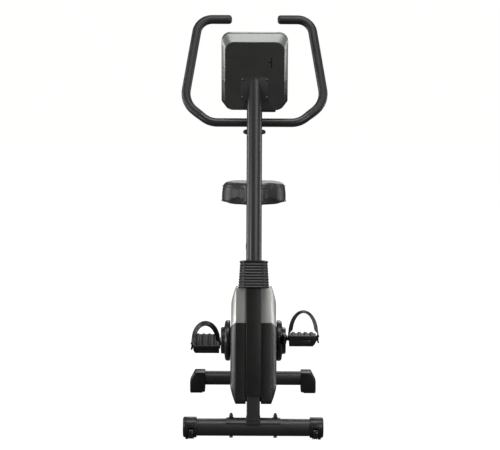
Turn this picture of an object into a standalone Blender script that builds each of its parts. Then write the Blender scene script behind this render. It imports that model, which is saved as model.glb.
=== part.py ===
"""Upright magnetic exercise bike, modelled as an assembly of separate parts.

The front of the bike faces -Y, the rider sits at +Y and looks towards -Y.
+X is the rider's left side. Units are metres, +Z is up, the floor is z = 0.
"""
from math import acos, cos, pi, radians, sin, tan

import bmesh
import bpy
from mathutils import Matrix, Vector

# ---- driving dimensions -------------------------------------------------
GAP = 0.0003

LEAN = radians(12)
POST_BASE = Vector((0, -0.39, 0.066))
POST_WIDTH = 0.046
POST_DEPTH = 0.060
POST_TOP = 0.455
MAST_RADIUS = 0.027
MAST_WALL = 0.002
MAST_START = 0.457

SEAT_LEAN = radians(24)
SEAT_BASE = Vector((0, -0.035, 0.120))
SEAT_TUBE_RADIUS = 0.025
SEAT_TUBE_LENGTH = 0.520
SEAT_POST_RADIUS = 0.0205

FRONT_Y = -0.39
FRONT_AXIS_Z = 0.038
FRONT_RADIUS = 0.030
REAR_Y = 0.39
REAR_AXIS_Z = 0.053
REAR_RADIUS = 0.027
STABILIZER_HALF = 0.2425
BOLT_X = 0.0762
WHEEL_WIDTH = 0.016
WHEEL_X = 0.2145
WHEEL_RADIUS = 0.0195
WHEEL_Y = FRONT_Y - 0.021
WHEEL_Z = WHEEL_RADIUS + 0.0020

CRANK_CENTRE = Vector((0, -0.010, 0.273))
CRANK_LENGTH = 0.170
CRANK_ANGLE = radians(13.5)
AXLE_RADIUS = 0.0085
BELT_X = 0.043
PULLEY_RADIUS = 0.085

FLYWHEEL_CENTRE = Vector((0, -0.195, 0.270))
FLYWHEEL_RADIUS = 0.105
FLYWHEEL_PULLEY_RADIUS = 0.0165
BRAKE_PIVOT = Vector((0, -0.2865, 0.3600))

SHROUD_FRONT = 0.022
SHROUD_FACE_HALF = 0.061
SHROUD_HALF = 0.078
SHROUD_WALL = 0.0025
SHROUD_TOP = 0.466
SHROUD_MIDDLE = Vector((-0.110, 0.300))

BAR_RADIUS = 0.0136
GRIP_RADIUS = 0.0162
GRIP_BORE = 0.0143
BAR_TILT = radians(22)
BAR_CENTRE = Vector((0, -0.128, 1.075))
KNOB_Z = BAR_CENTRE.z - 0.0355

CONSOLE_TILT = radians(8.9)
CONSOLE_CENTRE = Vector((0, -0.1710, 1.2533))
CONSOLE_HALF_WIDTH = 0.1165
CONSOLE_HALF_HEIGHT = 0.1345
CONSOLE_DEPTH = 0.056
SCREW_X = 0.0430
SCREW_ROWS = (-0.0255, -0.0880)
BUTTON_Z = -0.048
BUTTON_ROW = (-0.045, 0.0, 0.045)

PEDAL_INNER = 0.1265
PEDAL_OUTER = 0.2225
LEFT_PEDAL_TILT = radians(22)

SADDLE_BASE_Z = 0.7545
SADDLE_Y = 0.252

# ---- small helpers ------------------------------------------------------


def clear_scene():
    for old in list(bpy.data.objects):
        bpy.data.objects.remove(old, do_unlink=True)


def make_collection(name):
    collection = bpy.data.collections.new(name)
    bpy.context.scene.collection.children.link(collection)
    return collection


def make_material(name, colour, roughness, metallic=0.0):
    material = bpy.data.materials.new(name)
    material.use_nodes = True
    shader = material.node_tree.nodes["Principled BSDF"]
    shader.inputs["Base Color"].default_value = (*colour, 1.0)
    shader.inputs["Roughness"].default_value = roughness
    shader.inputs["Metallic"].default_value = metallic
    return material


def link(name, mesh):
    """Put a mesh in the scene as one named object."""
    piece = bpy.data.objects.new(name, mesh)
    PARTS.objects.link(piece)
    return piece


def mesh_from_bmesh(name, shape):
    bmesh.ops.recalc_face_normals(shape, faces=shape.faces)
    mesh = bpy.data.meshes.new(name)
    shape.to_mesh(mesh)
    shape.free()
    return mesh


def box(size, centre, turn=0.0):
    """A block of a given size, turned about the X axis."""
    shape = bmesh.new()
    bmesh.ops.create_cube(shape, size=1.0)
    place = Matrix.Translation(centre) @ Matrix.Rotation(turn, 4, "X") @ Matrix.Diagonal((*size, 1.0))
    bmesh.ops.transform(shape, matrix=place, verts=shape.verts)
    return link("block", mesh_from_bmesh("block", shape))


def rod(start, end, radius, sides=24, end_radius=None):
    """A round bar or cone between two points."""
    start = Vector(start)
    end = Vector(end)
    run = end - start
    shape = bmesh.new()
    last = radius if end_radius is None else end_radius
    bmesh.ops.create_cone(
        shape, cap_ends=True, segments=sides, radius1=radius, radius2=last, depth=run.length)
    turn = run.to_track_quat("Z", "Y").to_matrix().to_4x4()
    place = Matrix.Translation((start + end) / 2) @ turn
    bmesh.ops.transform(shape, matrix=place, verts=shape.verts)
    return link("rod", mesh_from_bmesh("rod", shape))


def bake(piece):
    """Replace the mesh with its evaluated form and drop the modifiers."""
    bpy.context.view_layer.update()
    graph = bpy.context.evaluated_depsgraph_get()
    mesh = bpy.data.meshes.new_from_object(piece.evaluated_get(graph))
    piece.modifiers.clear()
    piece.data = mesh
    return piece


def boolean(piece, tool, operation):
    modifier = piece.modifiers.new(operation.lower(), "BOOLEAN")
    modifier.operation = operation
    modifier.object = tool
    modifier.solver = "EXACT"
    bake(piece)
    bpy.data.objects.remove(tool, do_unlink=True)
    return piece


def join(piece, *tools):
    for tool in tools:
        boolean(piece, tool, "UNION")
    return piece


def cut(piece, *tools):
    for tool in tools:
        boolean(piece, tool, "DIFFERENCE")
    return piece


def copy_of(piece):
    twin = piece.copy()
    twin.data = piece.data.copy()
    PARTS.objects.link(twin)
    return twin


def finish(piece, name, material, crease=30):
    """Name a finished solid, give it its material and smooth shading."""
    shape = bmesh.new()
    shape.from_mesh(piece.data)
    bmesh.ops.remove_doubles(shape, verts=shape.verts, dist=0.00001)
    bmesh.ops.dissolve_limit(shape, angle_limit=radians(0.5), verts=shape.verts, edges=shape.edges)
    bmesh.ops.triangulate(shape, faces=[face for face in shape.faces if len(face.verts) > 4])
    shape.to_mesh(piece.data)
    shape.free()
    piece.name = name
    piece.data.name = name
    piece.data.materials.clear()
    piece.data.materials.append(material)
    piece.data.shade_smooth()
    piece.data.set_sharp_from_angle(angle=radians(crease))
    return piece


def mirrored(piece, name):
    """The same part for the other side of the bike."""
    twin = copy_of(piece)
    shape = bmesh.new()
    shape.from_mesh(twin.data)
    bmesh.ops.scale(shape, vec=(-1, 1, 1), verts=shape.verts)
    bmesh.ops.reverse_faces(shape, faces=shape.faces)
    shape.to_mesh(twin.data)
    shape.free()
    twin.name = name
    twin.data.name = name
    return twin


def prism(outline, thickness, centre_x=0.0):
    """Extrude an outline of (y, z) points along X."""
    curve = bpy.data.curves.new("outline", "CURVE")
    curve.dimensions = "2D"
    curve.fill_mode = "BOTH"
    curve.extrude = thickness / 2
    spline = curve.splines.new("POLY")
    spline.points.add(len(outline) - 1)
    for point, (across, up) in zip(spline.points, outline):
        point.co = (across, up, 0, 1)
    spline.use_cyclic_u = True
    flat = link("outline", curve)
    flat.matrix_world = Matrix.Translation((centre_x, 0, 0)) @ Matrix(
        ((0, 0, 1, 0), (1, 0, 0, 0), (0, 1, 0, 0), (0, 0, 0, 1)))
    return solid_from_curve(flat)


def solid_from_curve(source):
    """Turn an evaluated curve into a closed mesh object."""
    bpy.context.view_layer.update()
    graph = bpy.context.evaluated_depsgraph_get()
    mesh = bpy.data.meshes.new_from_object(source.evaluated_get(graph))
    mesh.transform(source.matrix_world)
    shape = bmesh.new()
    shape.from_mesh(mesh)
    bmesh.ops.remove_doubles(shape, verts=shape.verts, dist=0.00001)
    bmesh.ops.recalc_face_normals(shape, faces=shape.faces)
    shape.to_mesh(mesh)
    shape.free()
    bpy.data.objects.remove(source, do_unlink=True)
    return link("solid", mesh)


def bar_along(points, radius, resolution=4):
    """A round bar whose centre line runs through the points."""
    curve = bpy.data.curves.new("bar", "CURVE")
    curve.dimensions = "3D"
    curve.bevel_depth = radius
    curve.bevel_resolution = resolution
    curve.use_fill_caps = True
    spline = curve.splines.new("POLY")
    spline.points.add(len(points) - 1)
    for point, place in zip(spline.points, points):
        point.co = (*place, 1)
    return solid_from_curve(link("bar", curve))


def turned(profile, sides=32):
    """Spin an (x, radius) profile about the X axis; it closes itself off the axis."""
    shape = bmesh.new()
    corners = [shape.verts.new((along, 0, radius)) for along, radius in profile]
    for first, second in zip(corners, corners[1:] + corners[:1]):
        if first.co.z > 0 or second.co.z > 0:
            shape.edges.new((first, second))
    outline = bpy.data.meshes.new("profile")
    shape.to_mesh(outline)
    shape.free()
    piece = link("turned", outline)
    screw = piece.modifiers.new("turn", "SCREW")
    screw.axis = "X"
    screw.steps = sides
    screw.render_steps = sides
    screw.use_merge_vertices = True
    screw.merge_threshold = 0.00001
    bake(piece)
    shape = bmesh.new()
    shape.from_mesh(piece.data)
    bmesh.ops.remove_doubles(shape, verts=shape.verts, dist=0.00001)
    bmesh.ops.recalc_face_normals(shape, faces=shape.faces)
    shape.to_mesh(piece.data)
    shape.free()
    return piece


def place(piece, matrix):
    piece.data.transform(matrix)
    return piece


def loft(rings):
    """Skin closed rings that have the same number of points."""
    shape = bmesh.new()
    rows = [[shape.verts.new(point) for point in ring] for ring in rings]
    for lower, upper in zip(rows, rows[1:]):
        for index in range(len(lower)):
            after = (index + 1) % len(lower)
            shape.faces.new((lower[index], lower[after], upper[after], upper[index]))
    shape.faces.new(rows[0])
    shape.faces.new(rows[-1])
    return link("loft", mesh_from_bmesh("loft", shape))


def wedge(triangle, span, x_side=1):
    """A three-sided bar along Y over three (x, z) points, to take off an edge."""
    return loft([[(x_side * x, y, z) for x, z in triangle] for y in span])


def arc(centre, radius, start, end, steps):
    """Points on an arc in a plane, angles in radians."""
    turns = [start + (end - start) * step / steps for step in range(steps + 1)]
    return [(centre[0] + radius * cos(turn), centre[1] + radius * sin(turn)) for turn in turns]


def rounded(corners, radii, steps=4, closed=True):
    """Round the corners of a flat outline with arcs."""
    outline = []
    count = len(corners)
    for index, radius in enumerate(radii):
        corner = Vector(corners[index])
        if radius == 0 or (not closed and index in (0, count - 1)):
            outline.append(tuple(corner))
            continue
        back = (Vector(corners[index - 1]) - corner).normalized()
        ahead = (Vector(corners[(index + 1) % count]) - corner).normalized()
        half = acos(max(-1.0, min(1.0, back.dot(ahead)))) / 2
        centre = corner + (back + ahead).normalized() * radius / sin(half)
        first = corner + back * radius / tan(half) - centre
        sweep = first.angle_signed(corner + ahead * radius / tan(half) - centre)
        for step in range(steps + 1):
            spoke = first.copy()
            spoke.rotate(Matrix.Rotation(-sweep * step / steps, 2))
            outline.append(tuple(centre + spoke))
    return outline


def inset(outline, amount):
    """Move each point of a counter-clockwise outline inwards."""
    moved = []
    for index, point in enumerate(outline):
        before = Vector(outline[index - 1])
        after = Vector(outline[(index + 1) % len(outline)])
        run = (after - before).normalized()
        moved.append((point[0] - run.y * amount, point[1] + run.x * amount))
    return moved


def on_post(along, forward=0.0, across=0.0):
    """A point in the leaning frame of the front post; forward is towards -Y."""
    up = Vector((0, sin(LEAN), cos(LEAN)))
    front = Vector((0, -cos(LEAN), sin(LEAN)))
    return POST_BASE + up * along + front * forward + Vector((across, 0, 0))


def on_seat_tube(along, back=0.0):
    up = Vector((0, sin(SEAT_LEAN), cos(SEAT_LEAN)))
    rear = Vector((0, cos(SEAT_LEAN), -sin(SEAT_LEAN)))
    return SEAT_BASE + up * along + rear * back


def post_box(width, depth, start, end, forward=0.0):
    """A block lined up with the front post."""
    return box((width, depth, end - start), on_post((start + end) / 2, forward), -LEAN)


def pedal_centre(side):
    reach = Vector((0, -cos(CRANK_ANGLE), sin(CRANK_ANGLE))) * CRANK_LENGTH
    return CRANK_CENTRE + reach * side


# ---- frame and base -----------------------------------------------------


def make_main_frame():
    """Front post, base beam, seat tube, crank shell and drive brackets, welded into one."""
    frame = post_box(POST_WIDTH, POST_DEPTH, -0.02, POST_TOP)
    beam = box((0.040, 0.770, 0.045), (0, 0.015, 0.1065))
    seat_tube = rod(on_seat_tube(-0.01), on_seat_tube(SEAT_TUBE_LENGTH), SEAT_TUBE_RADIUS)
    shell = rod(CRANK_CENTRE - Vector((0.034, 0, 0)), CRANK_CENTRE + Vector((0.034, 0, 0)), 0.023)
    stub = rod(on_post(POST_TOP - 0.01), on_post(POST_TOP + 0.10), 0.0225)
    join(frame, beam, seat_tube, shell, stub, *saddle_plates(), *flywheel_brackets())
    cut(frame, post_box(POST_WIDTH - 0.005, POST_DEPTH - 0.005, 0.075, POST_TOP - 0.012))
    cut(frame, rod(on_post(POST_TOP - 0.03), on_post(POST_TOP + 0.12), 0.0200))
    cut(frame, rod(on_seat_tube(0.235), on_seat_tube(SEAT_TUBE_LENGTH + 0.02), SEAT_POST_RADIUS + 0.0008))
    cut(frame, rod(CRANK_CENTRE - Vector((0.05, 0, 0)), CRANK_CENTRE + Vector((0.05, 0, 0)), 0.0200))
    for y, z, radius in ((FRONT_Y, FRONT_AXIS_Z, FRONT_RADIUS), (REAR_Y, REAR_AXIS_Z, REAR_RADIUS)):
        cut(frame, rod((-0.3, y, z), (0.3, y, z), radius + GAP, 24))
    for x in (-BOLT_X, BOLT_X):
        cut(frame, rod((x, FRONT_Y, 0.05), (x, FRONT_Y, 0.09), 0.0046, 12))
    hole = FLYWHEEL_CENTRE
    cut(frame, rod(hole - Vector((0.09, 0, 0)), hole + Vector((0.09, 0, 0)), 0.0063, 16))
    return finish(frame, "main_frame", PAINT)


def saddle_plates():
    """Curved plates that sit on the front and rear stabilizer tubes."""
    plates = []
    front = (FRONT_Y, FRONT_AXIS_Z, FRONT_RADIUS, 0.0033, 0.094)
    rear = (REAR_Y, REAR_AXIS_Z, REAR_RADIUS, 0.0050, 0.060)
    for y, z, radius, plate, half in (front, rear):
        outer = arc((y, z), radius + plate, radians(35), radians(145), 8)
        inner = arc((y, z), radius - 0.004, radians(145), radians(35), 8)
        plates.append(prism(outer + inner, 2 * half))
    return plates


def flywheel_brackets():
    """Two plates that carry the flywheel axle, and the brake pivot pin between lugs."""
    near = on_post(0.15, -0.022)
    far = on_post(0.28, -0.022)
    tip = (FLYWHEEL_CENTRE.y, FLYWHEEL_CENTRE.z)
    outline = [(near.y, near.z), *arc(tip, 0.014, radians(-70), radians(70), 5), (far.y, far.z)]
    left = prism(outline, 0.004, 0.058)
    spacer = box((0.0385, 0.016, 0.10), on_post(0.215, -0.028, 0.03925), -LEAN)
    right = prism(outline, 0.008, -0.026)
    pivot = BRAKE_PIVOT
    pin = rod(pivot - Vector((0.026, 0, 0)), pivot + Vector((0.026, 0, 0)), 0.004, 16)
    lugs = []
    for side in (-1, 1):
        foot = on_post(0.285, -0.025)
        lugs.append(box((0.003, 0.036, 0.020), (side * 0.0205, (foot.y + pivot.y) / 2, pivot.z)))
    return [left, spacer, right, pin, *lugs]


def make_stabilizer(name, y, z, radius, half):
    tube = rod((-half, y, z), (half, y, z), radius, 24)
    cut(tube, rod((-half - 0.01, y, z), (half + 0.01, y, z), radius - 0.002, 24))
    if y < 0:
        for side in (-1, 1):
            x = side * BOLT_X
            cut(tube, rod((x, y, z - 0.05), (x, y, z + 0.05), 0.0046, 12))
    return finish(tube, name, PAINT)


def make_front_bolt(side, name):
    """A bolt through the front tube with its domed nut on top."""
    x = side * BOLT_X
    top = FRONT_AXIS_Z + FRONT_RADIUS + 0.0036
    bolt = rod((x, FRONT_Y, 0.0045), (x, FRONT_Y, top + 0.008), 0.0040, 12)
    nut = rod((x, FRONT_Y, top), (x, FRONT_Y, top + 0.010), 0.0078, 6)
    dome = rod((x, FRONT_Y, top + 0.009), (x, FRONT_Y, top + 0.018), 0.0060, 12, 0.0030)
    head = rod((x, FRONT_Y, 0.0020), (x, FRONT_Y, FRONT_AXIS_Z - FRONT_RADIUS - GAP), 0.0070, 6)
    return finish(join(bolt, nut, dome, head), name, BOLT_STEEL)


def make_front_cap():
    """Left end cap of the front tube, flat underneath, with a slot for the transport wheel."""
    inner = STABILIZER_HALF - 0.047
    profile = [(inner, 0.0), (inner, 0.0350), (inner + 0.002, 0.0358), (0.2385, 0.0358),
               (STABILIZER_HALF, 0.0310), (STABILIZER_HALF, 0.0)]
    cap = turned(profile, 20)
    place(cap, Matrix.Translation((0, FRONT_Y, FRONT_AXIS_Z)))
    foot = box((0.030, 0.046, 0.010), (0.2185, FRONT_Y + 0.002, 0.005))
    join(cap, foot)
    cut(cap, box((0.1, 0.2, 0.1), (0.23, FRONT_Y, -0.05)))
    cut(cap, box((WHEEL_WIDTH + 0.0024, 0.060, 0.050), (WHEEL_X, FRONT_Y - 0.030, WHEEL_Z - 0.004)))
    pin = rod((WHEEL_X - 0.010, WHEEL_Y, WHEEL_Z), (WHEEL_X + 0.010, WHEEL_Y, WHEEL_Z), 0.0035, 16)
    join(cap, pin)
    cut(cap, rod((0.15, FRONT_Y, FRONT_AXIS_Z), (0.2036, FRONT_Y, FRONT_AXIS_Z), FRONT_RADIUS + GAP, 24))
    return finish(cap, "front_cap_left", BLACK_PLASTIC)


def make_wheel(side, name):
    half = WHEEL_WIDTH / 2
    profile = [(-half, 0.0040), (half, 0.0040), (half, WHEEL_RADIUS - 0.002), (half - 0.002, WHEEL_RADIUS),
               (-half + 0.002, WHEEL_RADIUS), (-half, WHEEL_RADIUS - 0.002)]
    wheel = turned(profile, 20)
    place(wheel, Matrix.Translation((side * WHEEL_X, WHEEL_Y, WHEEL_Z)))
    return finish(wheel, name, WHEEL_PLASTIC)


def make_rear_foot():
    """Left rear end cap: a block round the tube end that also stands on the floor."""
    inner = STABILIZER_HALF - 0.058
    length = STABILIZER_HALF - inner
    foot = box((length, 0.074, 0.0805), (inner + length / 2, REAR_Y + 0.0035, 0.04025))
    edge = STABILIZER_HALF + 0.0005
    corner = [(edge, 0.0440), (edge - 0.0195, 0.0815), (edge + 0.0020, 0.0835)]
    cut(foot, wedge(corner, (REAR_Y - 0.06, REAR_Y + 0.06)))
    cut(foot, rod((inner - 0.01, REAR_Y, REAR_AXIS_Z), (STABILIZER_HALF - 0.0265, REAR_Y, REAR_AXIS_Z),
                  REAR_RADIUS + GAP, 24))
    return finish(foot, "rear_foot_left", BLACK_PLASTIC)


# ---- shroud, covers and inner drive -------------------------------------


def shroud_outline():
    """Side view of the shroud, counter-clockwise in (y, z)."""
    low = on_post(0.052, SHROUD_FRONT)
    high = on_post(SHROUD_TOP, SHROUD_FRONT)
    back = on_post(SHROUD_TOP, -0.066)
    corners = [(low.y, low.z), (0.020, 0.118), (0.165, 0.190), (0.185, 0.330), (0.105, 0.430),
               (-0.130, 0.475), (back.y, back.z), (high.y, high.z)]
    return rounded(corners, [0.012, 0.060, 0.060, 0.080, 0.080, 0.060, 0.015, 0.012], 3)


def eased(share):
    """A share held between 0 and 1, with a gentle start and end."""
    held = max(0.0, min(1.0, share))
    return held * held * (3 - 2 * held)


def side_outline(outline, shrink):
    """The smaller outline of the flat side face, drawn in at its top and bottom."""
    drawn = []
    for y, z in outline:
        y = SHROUD_MIDDLE.x + (y - SHROUD_MIDDLE.x) * shrink
        z = SHROUD_MIDDLE.y + (z - SHROUD_MIDDLE.y) * shrink
        drawn.append((y, z - 0.040 * eased((z - 0.34) / 0.15) + 0.048 * eased((0.20 - z) / 0.07)))
    return drawn


def shroud_body(thickness, near):
    """Left half of the shroud as a solid, drawn smaller by a thickness."""
    outline = shroud_outline()
    rim = inset(outline, thickness) if thickness else outline
    side = side_outline(rim, 0.895)
    rings = [[(near, y, z) for y, z in rim], [(SHROUD_FACE_HALF - thickness * 0.4, y, z) for y, z in rim],
             [(SHROUD_HALF - thickness, y, z) for y, z in side]]
    return loft(rings)


def seam_region(shift):
    """Everything above the line where the grey covers meet the black ones."""
    line = [(-0.50, 0.396), (-0.3414, 0.396), (-0.3170, 0.374), (-0.10, 0.345), (0.30, 0.345)]
    return prism([*((y, z + shift) for y, z in line), (0.30, 0.7), (-0.50, 0.7)], 0.4)


def make_shroud():
    """Grey upper and black lower cover for each side."""
    shell = shroud_body(0, GAP / 2)
    cut(shell, shroud_body(SHROUD_WALL, -0.02))
    cut(shell, post_box(2 * 0.0263, 0.12, -0.05, 0.60, 0.0287))
    cut(shell, post_box(2 * 0.0545, 0.160, 0.4540, 0.60, 0.0255))
    cut(shell, rod(on_seat_tube(-0.04), on_seat_tube(0.7), SEAT_TUBE_RADIUS + 0.0006))
    cut(shell, box((0.0412, 0.9, 0.0462), (0, 0.05, 0.1065)))
    cut(shell, rod(CRANK_CENTRE, CRANK_CENTRE + Vector((0.12, 0, 0)), 0.0120))
    upper = copy_of(shell)
    boolean(upper, seam_region(GAP / 2), "INTERSECT")
    cut(shell, seam_region(-GAP / 2))
    cut(shell, inlet_block(0.0003))
    finish(shell, "shroud_lower_left", BLACK_PLASTIC)
    finish(upper, "shroud_upper_left", GREY_PLASTIC)
    mirrored(upper, "shroud_upper_right")
    mirrored(shell, "shroud_lower_right")


def inlet_block(margin):
    return box((0.012 + 2 * margin, 0.02, 0.012 + 2 * margin), (0.036, 0.172, 0.235))


def make_inlet():
    """Low-voltage power socket at the back of the left cover."""
    inlet = box((0.012, 0.016, 0.012), (0.036, 0.1715, 0.235))
    cut(inlet, rod((0.036, 0.17, 0.235), (0.036, 0.2, 0.235), 0.0040, 16))
    return finish(inlet, "power_inlet", BLACK_PLASTIC)


def make_post_cover():
    """Channel that covers the front of the post between the two shroud sides."""
    depth = 0.0225
    outer = post_box(0.052, depth, 0.078, 0.452, 0.0335 - depth / 2)
    cut(outer, post_box(POST_WIDTH + 2 * GAP, 0.06, 0.07, 0.46, 0.0303 - 0.03))
    return finish(outer, "post_cover", BLACK_PLASTIC)


def bellows_ring(along, half_width, half_depth):
    """One section of the collar, with a flat band at the front."""
    band = 0.032
    corners = [(-band, half_depth), (band, half_depth), (half_width, half_depth - 0.028),
               (half_width, -half_depth + 0.024), (band, -half_depth), (-band, -half_depth),
               (-half_width, -half_depth + 0.024), (-half_width, half_depth - 0.028)]
    return [on_post(along, forward, across) for across, forward in corners]


def make_bellows():
    """Ribbed collar that closes the top of the shroud round the mast."""
    ribs = 9
    start = 0.4545
    height = 0.093
    rings = []
    for step in range(2 * ribs + 1):
        share = step / (2 * ribs)
        rib = 0.0015 if step % 2 else 0.0
        rings.append(bellows_ring(start + height * share, 0.0540 - 0.0055 * share - rib,
                                  0.0520 - 0.0060 * share - rib))
    collar = loft(rings)
    cut(collar, rod(on_post(start - 0.02), on_post(start + height + 0.02), MAST_RADIUS + 0.0004, 24))
    cut(collar, post_box(0.052, 0.068, start - 0.01, start + 0.006))
    return finish(collar, "bellows_collar", RUBBER, 20)


def make_flywheel():
    """Rim, web, hub and small belt pulley, turned from one piece."""
    r = FLYWHEEL_RADIUS
    p = FLYWHEEL_PULLEY_RADIUS
    profile = [(-0.018, 0.0068), (0.050, 0.0068), (0.050, p), (0.036, p), (0.036, 0.014), (0.006, 0.022),
               (0.006, r - 0.024), (0.012, r - 0.020), (0.012, r), (-0.012, r), (-0.012, r - 0.020),
               (-0.006, r - 0.024), (-0.006, 0.022), (-0.018, 0.022)]
    wheel = turned(profile, 24)
    place(wheel, Matrix.Translation(FLYWHEEL_CENTRE))
    return finish(wheel, "flywheel", CAST_IRON)


def make_flywheel_axle():
    c = FLYWHEEL_CENTRE
    axle = rod(c - Vector((0.040, 0, 0)), c + Vector((0.070, 0, 0)), 0.0060, 16)
    join(axle, rod(c - Vector((0.038, 0, 0)), c - Vector((0.0305, 0, 0)), 0.0100, 6))
    join(axle, rod(c + Vector((0.0605, 0, 0)), c + Vector((0.068, 0, 0)), 0.0100, 6))
    return finish(axle, "flywheel_axle", BOLT_STEEL)


def make_brake_bracket():
    """Curved magnet carrier over the flywheel rim, hinged at its front end."""
    c = (FLYWHEEL_CENTRE.y, FLYWHEEL_CENTRE.z)
    outer = arc(c, 0.1225, radians(62), radians(134), 9)
    inner = arc(c, 0.1135, radians(134), radians(62), 9)
    arm = prism(outer + inner, 0.034)
    barrel = rod(BRAKE_PIVOT - Vector((0.017, 0, 0)), BRAKE_PIVOT + Vector((0.017, 0, 0)), 0.0075, 16)
    join(arm, barrel)
    cut(arm, rod(BRAKE_PIVOT - Vector((0.03, 0, 0)), BRAKE_PIVOT + Vector((0.03, 0, 0)), 0.0046, 16))
    return finish(arm, "brake_magnet_bracket", ZINC)


def make_servo():
    block = box((0.040, 0.032, 0.045), on_post(0.405, -0.0465), -LEAN)
    return finish(block, "tension_servo", BLACK_PLASTIC)


def make_pulley():
    r = PULLEY_RADIUS
    profile = [(0.0365, AXLE_RADIUS + GAP), (0.050, AXLE_RADIUS + GAP), (0.050, 0.022), (0.045, 0.024),
               (0.045, r - 0.008), (0.050, r), (0.036, r), (0.040, r - 0.008), (0.040, 0.024),
               (0.0365, 0.022)]
    pulley = turned(profile, 30)
    place(pulley, Matrix.Translation(CRANK_CENTRE))
    return finish(pulley, "drive_pulley", BLACK_PLASTIC)


def belt_loop(extra):
    """Outline of a belt round both pulleys, at a distance outside them."""
    big = CRANK_CENTRE
    small = FLYWHEEL_CENTRE
    run = Vector((small.y - big.y, small.z - big.z))
    heading = Vector((1, 0)).angle_signed(run) * -1
    spread = acos((PULLEY_RADIUS - FLYWHEEL_PULLEY_RADIUS) / run.length)
    around = arc((big.y, big.z), PULLEY_RADIUS + extra, heading + spread, heading + 2 * pi - spread, 28)
    return around + arc((small.y, small.z), FLYWHEEL_PULLEY_RADIUS + extra, heading - spread,
                        heading + spread, 8)


def make_belt():
    belt = prism(belt_loop(0.0040), 0.012, BELT_X)
    cut(belt, prism(belt_loop(0.0013), 0.020, BELT_X))
    return finish(belt, "drive_belt", RUBBER)


def make_axle():
    c = CRANK_CENTRE
    axle = rod(c - Vector((0.1165, 0, 0)), c + Vector((0.1165, 0, 0)), AXLE_RADIUS, 24)
    return finish(axle, "crank_axle", BOLT_STEEL)


def make_bearing(side, name):
    bore = AXLE_RADIUS + 0.0004
    profile = [(0.021, bore), (0.033, bore), (0.033, 0.0196), (0.021, 0.0196)]
    ring = turned([(side * x, radius) for x, radius in profile], 24)
    place(ring, Matrix.Translation(CRANK_CENTRE))
    return finish(ring, name, BOLT_STEEL)


# ---- cranks and pedals --------------------------------------------------


def crank_direction(side):
    return Vector((0, -cos(CRANK_ANGLE), sin(CRANK_ANGLE))) * side


def crank_outline(side, margin):
    """A long rounded bar from the crank axle to the pedal."""
    hub = (CRANK_CENTRE.y, CRANK_CENTRE.z)
    end_point = pedal_centre(side)
    end = (end_point.y, end_point.z)
    way = crank_direction(side)
    angle = Vector((1, 0)).angle_signed(Vector((way.y, way.z))) * -1
    outline = arc(hub, 0.019 + margin, angle + pi / 2, angle + 3 * pi / 2, 10)
    return outline + arc(end, 0.014 + margin, angle - pi / 2, angle + pi / 2, 8)


def make_crank_arm(side, name):
    arm = prism(crank_outline(side, 0), 0.0115, side * 0.11225)
    for centre, radius in ((CRANK_CENTRE, AXLE_RADIUS + GAP), (pedal_centre(side), 0.0073)):
        inner = centre + Vector((side * 0.09, 0, 0))
        outer = centre + Vector((side * 0.13, 0, 0))
        cut(arm, rod(inner, outer, radius, 20))
    return finish(arm, name, CRANK_STEEL)


def make_crank_cover(side, name):
    """Round guard disc with a cone towards the shroud and a boss round the arm."""
    profile = [(0.0830, AXLE_RADIUS + GAP), (0.0830, 0.0180), (0.0845, 0.0700), (0.0870, 0.0738),
               (0.0960, 0.0740), (0.1020, 0.0690), (0.1045, 0.0560), (0.1060, 0.0490), (0.1150, 0.0485),
               (0.1180, 0.0440), (0.1180, AXLE_RADIUS + GAP)]
    cover = turned([(side * x, radius) for x, radius in profile], 24)
    place(cover, Matrix.Translation(CRANK_CENTRE))
    cut(cover, prism(crank_outline(side, 0.0006), 0.02, side * 0.1157))
    return finish(cover, name, BLACK_PLASTIC)


def make_spindle(side, name):
    c = pedal_centre(side)
    spindle = rod(c + Vector((side * 0.1075, 0, 0)), c + Vector((side * 0.2100, 0, 0)), 0.0068, 16)
    join(spindle, rod(c + Vector((side * 0.1185, 0, 0)), c + Vector((side * 0.1225, 0, 0)), 0.0105, 12))
    return finish(spindle, name, BOLT_STEEL)


def pedal_matrix(side):
    turn = LEFT_PEDAL_TILT if side < 0 else 0.0
    return Matrix.Translation(pedal_centre(side)) @ Matrix.Rotation(turn, 4, "X")


def make_pedal(side, name):
    """Self-levelling pedal: a shell open below, a barrel for the spindle and four long tread ribs."""
    rail = rounded([(-0.050, -0.012), (-0.030, -0.029), (0.026, -0.029), (0.050, -0.012), (0.048, 0.010),
                    (-0.050, 0.010)], [0.006] * 6, 2)
    middle = (PEDAL_INNER + PEDAL_OUTER) / 2
    body = prism(rail, PEDAL_OUTER - PEDAL_INNER, side * middle)
    inner = PEDAL_INNER + 0.004
    outer = PEDAL_OUTER - 0.020
    cut(body, box((outer - inner, 0.076, 0.034), (side * (inner + outer) / 2, 0, -0.017)))
    corner = [(PEDAL_OUTER - 0.0160, -0.031), (PEDAL_OUTER + 0.0005, -0.001), (PEDAL_OUTER + 0.0025, -0.033)]
    cut(body, wedge(corner, (-0.06, 0.06), side))
    join(body, rod((side * (PEDAL_INNER + 0.001), 0, -0.0002), (side * (PEDAL_OUTER - 0.004), 0, -0.0002),
                   0.0097, 14))
    for index in range(4):
        x = side * (middle + (index - 1.5) * 0.0215)
        join(body, rod((x, -0.044, 0.0085), (x, 0.043, 0.0085), 0.0075, 10))
    cut(body, rod((side * 0.1, 0, 0), (side * 0.2145, 0, 0), 0.0073, 16))
    place(body, pedal_matrix(side))
    return finish(body, name, BLACK_PLASTIC)


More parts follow.
